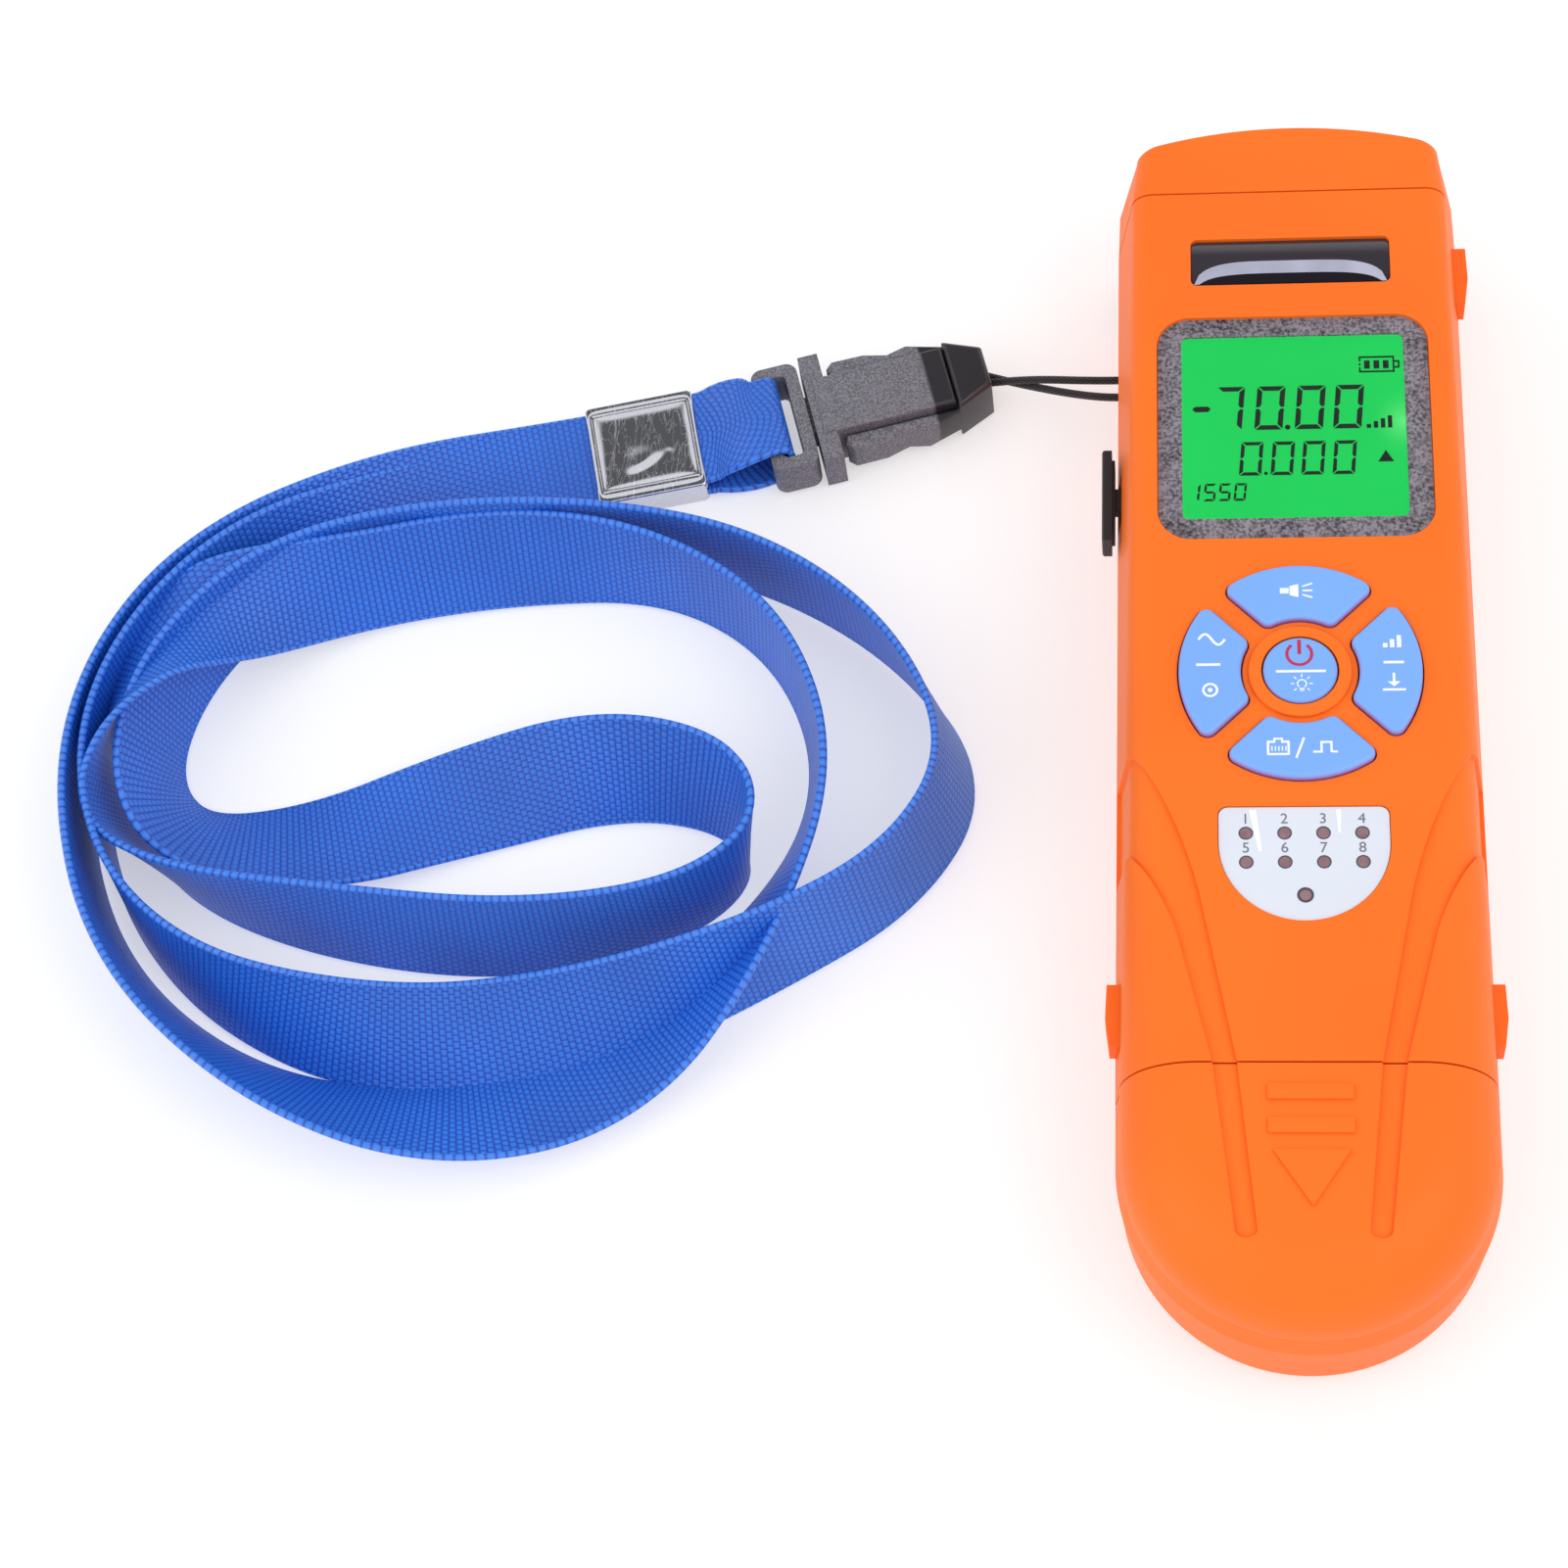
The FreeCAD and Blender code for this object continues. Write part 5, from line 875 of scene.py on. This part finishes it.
class METER_OT_inside(MeterPiece, bpy.types.Operator):
    """Give the boards, ports, lamps, cells and metalwork inside the housing their finishes"""
    bl_idname = "meter.inside"
    bl_label = "Inside"

    def execute(self, context):
        board = moulded("solder mask", srgb(28, 104, 56), srgb(20, 84, 46), grain_size=700.0, rise=0.01,
                        roughness=0.35)
        nickel = marked_metal("nickel plate", srgb(200, 201, 203), 0.22)
        steel = marked_metal("pin steel", srgb(178, 180, 184), 0.3, mark=0.45)
        can = marked_metal("cell can", srgb(150, 158, 166), 0.3)
        lamp = moulded("lamp epoxy", srgb(232, 232, 226), srgb(220, 221, 214), grain_size=500.0, rise=0.002,
                       roughness=0.15)
        white = moulded("light guide", srgb(236, 238, 240), srgb(226, 229, 232), grain_size=500.0, rise=0.004)
        finish_nodes(board, "main_board", "tail_board")
        finish_nodes(nickel, "optical_port", "red_light_port", "laser_module", "battery_contacts",
                     "housing_screws")
        finish_nodes(steel, "hinge_pin", "lanyard_pin")
        finish_nodes(can, "cell_1", "cell_2", "cell_3")
        finish_nodes(lamp, "torch_lamp")
        finish_nodes(white, "backlight")
        return {"FINISHED"}


class METER_OT_display(MeterPiece, bpy.types.Operator):
    """Finish the display's lens, frame and glass, and draw its segments"""
    bl_idname = "meter.display"
    bl_label = "Display"

    def execute(self, context):
        look = context.scene.meter_display
        finish_nodes(textured_frame(look), "display_mask")
        finish_nodes(clear_plastic("display lens", srgb(250, 252, 251), 0.0), "display_lens")
        finish_nodes(lit_display(look), "lcd_glass")
        ink = printed("display ink", look.ink, roughness=0.4)
        height, rise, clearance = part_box("lcd_glass")[1].z / MM, 0.01, 0.012
        outlines = self.readings(look.segment / MM) + self.signs()
        print_on("display_segments", outlines, height + clearance, rise, ink)
        return {"FINISHED"}

    def readings(self, thick):
        """Three rows of figures: the level, the power and the wavelength."""
        outlines = []
        for figures, lefts, foot, width, tall, share, slant in READINGS:
            for letter, left in zip(figures, lefts):
                outlines += digit(letter, left, foot, width, tall, thick * share, slant)
        return outlines

    def signs(self):
        """Minus sign, points, battery and two plain marks beside the figures."""
        minus = [(-12.97, 39.46), (-12.6, 39.86), (-10.95, 39.86), (-10.58, 39.46), (-10.95, 39.06),
                 (-12.6, 39.06)]
        arrowhead = [(10.6, 31.1), (12.6, 31.1), (11.6, 32.8)]
        left, right, low, high, line = 8.55, 13.12, 44.68, 47.14, 0.24
        battery = bars((left, low, right, low + line), (left, high - line, right, high),
                       (right - line, low, right, high), (left, low, left + line, low + 0.75),
                       (left, high - 0.75, left + line, high), (left, 45.75, left + line, 46.05),
                       (right, 46.2, right + 0.6, 46.2 + line), (right, 45.3, right + 0.6, 45.3 + line),
                       (right + 0.42, 45.3, right + 0.66, 46.44))
        charge = bars(*[(start, 45.25, start + 0.74, 46.47) for start in (9.22, 10.44, 11.64)])
        steps = bars(*[(9.3 + step * 0.9, 36.2, 9.85 + step * 0.9, 36.75 + step * 0.42) for step in range(4)])
        points = [disc(-0.77, 36.52, 0.36), disc(-3.66, 29.6, 0.24)]
        return [minus] + points + battery + charge + steps + [arrowhead]


class METER_OT_keypad(MeterPiece, bpy.types.Operator):
    """Finish the keys and print their legends as plain pictograms"""
    bl_idname = "meter.keypad"
    bl_label = "Keypad"

    def execute(self, context):
        look = context.scene.meter_keypad
        white = printed("white legend", look.legend, roughness=0.5)
        red = printed("power mark", look.power, roughness=0.5)
        height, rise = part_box("key_power")[1].z / MM, look.print_rise / MM
        legends = {"top": self.torch(), "left": self.wave(), "right": self.memory(), "bottom": self.socket(),
                   "power": self.lamp()}
        finish_nodes(key_rubber(look), *["key_" + side for side in legends])
        for side, outlines in legends.items():
            print_on("legend_" + side, outlines, height, rise, white, side + "_key")
        ring = stroke(arc(-0.08, 2.12, 1.53, 128, 412, 41), 0.38)
        print_on("power_sign", [ring, *bars((-0.31, 2.08, 0.15, 4.1))], height, rise, red,
                 "power_key")
        return {"FINISHED"}

    def torch(self):
        """Torch: a tapered head, a handle and three rays."""
        head = [(-1.1, 10.5), (0.0, 10.2), (0.0, 12.1), (-1.1, 11.8)]
        rays = [stroke([(0.5, 11.15 + step), (1.75, 11.15 + 1.7 * step)], 0.22) for step in (-0.6, 0.0, 0.6)]
        return [head] + bars((-2.3, 10.75, -1.2, 11.55)) + rays

    def wave(self):
        """Wave over a line, and a round target under it."""
        start, end, middle, swing, period = -12.5, -9.2, 4.3, 0.75, 3.3
        x = np.linspace(start, end, 25)
        wave = stroke(np.column_stack([x, middle + swing * np.sin((x - start) * 2 * math.pi / period)]), 0.32)
        target = [stroke(arc(-11.1, -2.85, 0.85, 0, 359, 33), 0.3), disc(-11.1, -2.85, 0.3)]
        return [wave] + bars((-12.8, 0.55, -9.8, 0.91)) + target

    def memory(self):
        """Rising bars over a line, and an arrow into a tray under it."""
        rising = [(10.2 + step * 0.85, 2.9, 10.75 + step * 0.85, 3.5 + step * 0.55) for step in range(3)]
        line, stem, tray = (10.2, 0.62, 12.7, 0.98), (11.24, -1.95, 11.56, -0.7), (10.0, -3.2, 12.8, -2.88)
        arrowhead = [(10.6, -1.9), (11.4, -2.6), (12.2, -1.9)]
        return bars(*rising, line, stem) + [arrowhead] + bars(tray)

    def socket(self):
        """Eight-way socket, a slash and a square wave."""
        rim = bars((-4.3, -12.0, -1.5, -11.7), (-4.3, -12.0, -4.0, -10.0), (-1.8, -12.0, -1.5, -10.0),
                   (-4.3, -10.3, -3.5, -10.0), (-2.3, -10.3, -1.5, -10.0), (-3.5, -10.3, -3.25, -9.6),
                   (-2.55, -10.3, -2.3, -9.6), (-3.5, -9.85, -2.3, -9.6))
        pins = bars(*[(-3.75 + step * 0.42, -11.4, -3.59 + step * 0.42, -10.75) for step in range(5)])
        x, y = 1.3, -11.7
        pulse = bars((x, y, x + 0.9, y + 0.28), (x + 0.9, y, x + 1.18, y + 1.6),
                     (x + 0.9, y + 1.32, x + 2.1, y + 1.6), (x + 2.1, y, x + 2.38, y + 1.6),
                     (x + 2.1, y, x + 3.0, y + 0.28))
        return rim + pins + [stroke([(-0.75, -12.4), (0.25, -9.6)], 0.3)] + pulse

    def lamp(self):
        """Line under the power sign, and a small lamp with seven rays, none below it."""
        x, y, ray_start, ray_end = 0.15, -2.08, 0.92, 1.36
        middle = np.array([x, y])
        ways = [heading(turn)[:2] for turn in range(0, 360, 45) if turn != 270]
        rays = [stroke([middle + way * ray_start, middle + way * ray_end], 0.15) for way in ways]
        bulb = stroke(arc(x, y, 0.55, -55, 235, 27), 0.16)
        socket = bars((x - 0.32, y - 0.78, x + 0.32, y - 0.62), (x - 0.26, y - 1.02, x + 0.26, y - 0.88))
        return bars((-3.0, -0.5, 3.12, -0.16)) + [bulb] + socket + rays


class METER_OT_indicators(MeterPiece, bpy.types.Operator):
    """Finish the indicator label and its lamps, and print the numbers"""
    bl_idname = "meter.indicators"
    bl_label = "Indicators"

    def execute(self, context):
        look = context.scene.meter_keypad
        label = moulded("silver label", look.label, darker(look.label, 0.965), grain_size=3200.0, rise=0.01,
                        roughness=0.32, drift_size=90.0, Coat_Weight=0.3, Coat_Roughness=0.1)
        lamp = moulded("tinted lamps", look.lamp, darker(look.lamp, 0.7), rise=0.01, roughness=0.3,
                       drift_size=700.0)
        grey = printed("grey numbers", look.number, roughness=0.5)
        dark = printed("lamp well", darker(look.number, 0.3), roughness=0.6)
        # Painted glare: near-white glossy streaks on the label.
        painted_glare = moulded("film crease", srgb(250, 251, 255), srgb(244, 246, 252), grain_size=400.0,
                         rise=0.002, roughness=0.12)
        finish_nodes(label, "indicator_label")
        finish_nodes(lamp, "indicator_lamps")
        top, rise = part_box("indicator_label")[1].z / MM, look.print_rise / MM
        pitch, rows, lamp_size, above = 4.67, (-22.05, -25.95), 0.74, 1.3
        spots = [((step - 1.5) * pitch, row) for row in rows for step in range(4)]
        for count, (x, y) in enumerate(spots, start=1):
            self.number(str(count), Vector((x - 0.02, y + above, top)), grey, rise)
        rings = [ring_mark(x, y, 0.88, lamp_size) for x, y in spots]
        # Two upright pale streaks from the top of the label: painted glare.
        glare_streaks = [[(-6.62, -18.9), (-5.7, -18.9), (-5.05, -24.5), (-5.55, -24.5)],
                   [(3.85, -18.9), (4.55, -18.9), (4.45, -22.0), (4.1, -22.0)]]
        print_on("lamp_rings", rings, top, rise, dark)
        last_ring = ring_mark(0, -30.35, 1.0, lamp_size)
        print_on("last_lamp_ring", [last_ring], top, 2 * rise, dark)
        print_on("label_painted_glare", glare_streaks, top, 2 * rise, painted_glare)
        return {"FINISHED"}

    def number(self, words, place, material, rise):
        """One printed number, 1.35 mm tall, made a mesh before it is placed."""
        text = bpy.data.curves.new("number_" + words, "FONT")
        text.body = words
        text.align_x = "CENTER"
        text.size = 1.95 * MM
        text.extrude = rise * MM
        holder = bpy.data.objects.new("number_" + words, text)
        mesh = bpy.data.meshes.new_from_object(holder)
        bpy.data.objects.remove(holder)
        bpy.data.curves.remove(text)
        mesh.transform(Matrix.Translation(place * MM))
        add_piece("number_" + words, mesh, material)


class METER_OT_lanyard(MeterPiece, bpy.types.Operator):
    """Lay the loop cord and the webbing, and finish the buckle and the clasp"""
    bl_idname = "meter.lanyard"
    bl_label = "Lanyard"

    def execute(self, context):
        look = context.scene.meter_lanyard
        grained = grained_buckle(look)
        chrome = marked_metal("chromed clasp", look.chrome, 0.09, vein_size=520.0, fineness=0.006, rise=0.004,
                              mark=0.32)
        halves = [rounded_node(name, grained, radius=0.32)
                  for name in ("buckle_plug", "buckle_socket")]
        finish_nodes(chrome, "strap_clasp")
        self.clasp_face(chrome)
        self.ejector_marks(grained)
        self.lay_cord(look, halves)
        self.lay_strap(look)
        return {"FINISHED"}

    def clasp_face(self, chrome):
        """Rolled frame and pillow of the clasp's upper face, over along and across its middle.

        Frame: falls off as high powers of the share of the way to its edges; groove: a dip along its inner
        side; pillow: rises as (1 - (along/long)^6)(1 - (across/wide)^6), with one long step low in the
        middle, a tanh across it, and two shallow ones; the two meet over a tanh of the distance to the
        groove. A straight skirt and a flat foot close it below.
        """
        half_long, half_wide, pillow_long, pillow_wide = 7.55, 7.95, 6.7, 6.2
        frame_rise, fall_across, fall_along, pillow_rise, puff = 4.5, 0.9, 0.5, 4.2, 0.5
        groove, groove_reach, meeting, step_reach, skirt_foot = 0.1, 0.25, 0.22, 2.6, 3.55
        along, across = np.meshgrid(np.linspace(-half_long, half_long, 121),
                                    np.linspace(-half_wide, half_wide, 129), indexing="ij")
        roll = (frame_rise - fall_across * np.abs(across / half_wide) ** 10
                - fall_along * np.abs(along / half_long) ** 14)
        dome = (1 - (along / pillow_long) ** 6) * (1 - (across / pillow_wide) ** 6)
        pillow = pillow_rise + puff * np.clip(dome, 0.0, 1.0)
        for x, y, long, wide, turn, deep in ((-0.8, -2.4, 3.0, 0.85, 0.45, 0.8),
                                             (3.4, -1.0, 1.5, 0.5, -0.5, 0.16),
                                             (-4.2, 0.9, 0.6, 1.8, 0.15, 0.14)):
            u = (along - x) * math.cos(turn) + (across - y) * math.sin(turn)
            v = (across - y) * math.cos(turn) - (along - x) * math.sin(turn)
            fade = np.exp(-((u / long) ** 2) - np.clip(v / step_reach, 0.0, None) ** 2)
            pillow = pillow - deep * 0.5 * (1 + np.tanh((v + wide) / wide)) * fade
        inside = np.minimum(pillow_long - np.abs(along), pillow_wide - np.abs(across))
        share = 0.5 * (1 + np.tanh(inside / meeting))
        height = roll * (1 - share) + pillow * share - groove * np.exp(-((inside / groove_reach) ** 2))
        level = CLASP_MIDDLE + along[..., None] * CLASP_WAY + across[..., None] * np.cross(UP, CLASP_WAY)
        upper = level + height[..., None] * UP
        rows, columns = along.shape
        count = rows * columns
        rim = np.concatenate([np.arange(columns), columns * np.arange(2, rows + 1) - 1,
                              count - np.arange(2, columns + 1), columns * np.arange(rows - 2, 0, -1)])
        foot = count + np.arange(len(rim))
        faces = grid_faces(rows, columns)[:, ::-1].tolist() + ring_quads(rim, foot) + [foot.tolist()]
        points = np.concatenate([upper.reshape(-1, 3), level.reshape(-1, 3)[rim] + skirt_foot * UP])
        mesh_piece("clasp_face", points, faces, chrome)

    def ejector_marks(self, grained):
        """Small raised circles that the mould left on the buckle's two arms."""
        arm_top, rise, outer, inner = 6.2, 0.1, 0.55, 0.38
        for side, (x, y) in {"low": (-57.2, 49.1), "high": (-60.5, 61.3)}.items():
            print_on("ejector_mark_" + side, [ring_mark(x, y, outer, inner, 25)], arm_top, rise, grained)

    def lay_cord(self, look, halves):
        """Doubled loop from the buckle's tip round the lanyard pin; its strands cross near the buckle."""
        radius = look.cord_size / MM / 2
        pin_x, pin_y, height, swing = -21.0, 55.2, 8.1, 1.37
        tip_x, tip_y, tip_z = -41.6, 60.0, 3.8
        cross_x, cross_y, cross_z, run_x = tip_x + 5.5, tip_y - 1.5, (height + 2 * tip_z) / 3, pin_x - 5
        beside, over = radius + 0.15, radius + 0.25
        points = np.array([
            (tip_x, tip_y - beside, tip_z), (cross_x, cross_y, cross_z + over),
            (run_x, pin_y + swing, height), (pin_x + swing, pin_y + swing, height),
            (pin_x + swing, pin_y - swing, height), (run_x, pin_y - swing, height),
            (cross_x, cross_y, cross_z - over), (tip_x, tip_y + beside, tip_z)])
        walked, line = evenly(route_line(points), step=0.12)
        cord = round_cord("braided_loop", line, radius, braided_cord(look))
        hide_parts("loop_cord")

    def lay_strap(self, look):
        """Webbing from the clasp round its loose coil and back to the clasp, mostly standing on edge."""
        lay = np.array(STRAP_LAY, float)
        lean = route_line(np.column_stack([lay[:, 3], np.zeros((len(lay), 2))]))
        walked, line, lean = evenly(route_line(lay[:, :3]), lean, step=0.9)
        woven = woven_webbing(look)
        strap = webbing_band("webbing", line, leaning(line, lean[:, 0]), look, woven)
        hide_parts("strap")
        lead = self.ring_lead(look, woven)

    def ring_lead(self, look, woven):
        """Short webbing from the clasp over the ring's bar and back under it, gathered where it is folded."""
        over = [(CLASP_MIDDLE - 5 * CLASP_WAY, 2.9), (CLASP_MIDDLE + 8 * CLASP_WAY, 2.9),
                (CLASP_MIDDLE + 11 * CLASP_WAY, 4.9), (RING_BAR - 3.0 * RING_WAY, 7.3),
                (RING_BAR + 0.4 * RING_WAY, 7.9), (RING_BAR + 2.0 * RING_WAY, 7.2),
                (RING_BAR + 1.9 * RING_WAY, 4.0), (RING_BAR + 1.8 * RING_WAY, 0.6), (RING_BAR, 0.6),
                (RING_BAR - 4.0 * RING_WAY, 0.6), (CLASP_MIDDLE + 8 * CLASP_WAY, 1.3),
                (CLASP_MIDDLE - 5 * CLASP_WAY, 1.3)]
        points = np.array([place + height * UP for place, height in over])
        line = evenly(route_line(points), step=0.4)[1]
        side = np.tile(np.cross(UP, RING_WAY), (len(line), 1))
        pinch, reach = 0.16, 5.0
        near = np.exp(-((np.abs(line @ RING_WAY - RING_BAR @ RING_WAY) / reach) ** 2))
        return webbing_band("webbing_lead", line, side, look, woven, narrow=1 - pinch * near, gather=0.4)


OPERATORS = (METER_OT_stage, METER_OT_housing, METER_OT_inside, METER_OT_display, METER_OT_keypad,
             METER_OT_indicators, METER_OT_lanyard)


class METER_PT_sidebar(bpy.types.Panel):
    """Sizes and colours of the meter, and the operators that build its pieces"""
    bl_idname = "METER_PT_sidebar"
    bl_label = "Power Meter"
    bl_space_type = "VIEW_3D"
    bl_region_type = "UI"
    bl_category = "Meter"

    def draw(self, context):
        for name, group in LOOKS.items():
            box = self.layout.box()
            look = getattr(context.scene, name)
            for key in group.__annotations__:
                box.prop(look, key)
        for operator in OPERATORS:
            self.layout.operator(operator.bl_idname)


def register():
    for group in LOOKS.values():
        bpy.utils.register_class(group)
    for operator in OPERATORS:
        bpy.utils.register_class(operator)
    bpy.utils.register_class(METER_PT_sidebar)
    for name, group in LOOKS.items():
        setattr(bpy.types.Scene, name, bpy.props.PointerProperty(type=group))


def unregister():
    for name in LOOKS:
        delattr(bpy.types.Scene, name)
    bpy.utils.unregister_class(METER_PT_sidebar)
    for operator in reversed(OPERATORS):
        bpy.utils.unregister_class(operator)
    for group in reversed(list(LOOKS.values())):
        bpy.utils.unregister_class(group)


def main():
    register()
    for operator in OPERATORS:
        group, name = operator.bl_idname.split(".")
        getattr(getattr(bpy.ops, group), name)()


if __name__ == "__main__":
    main()
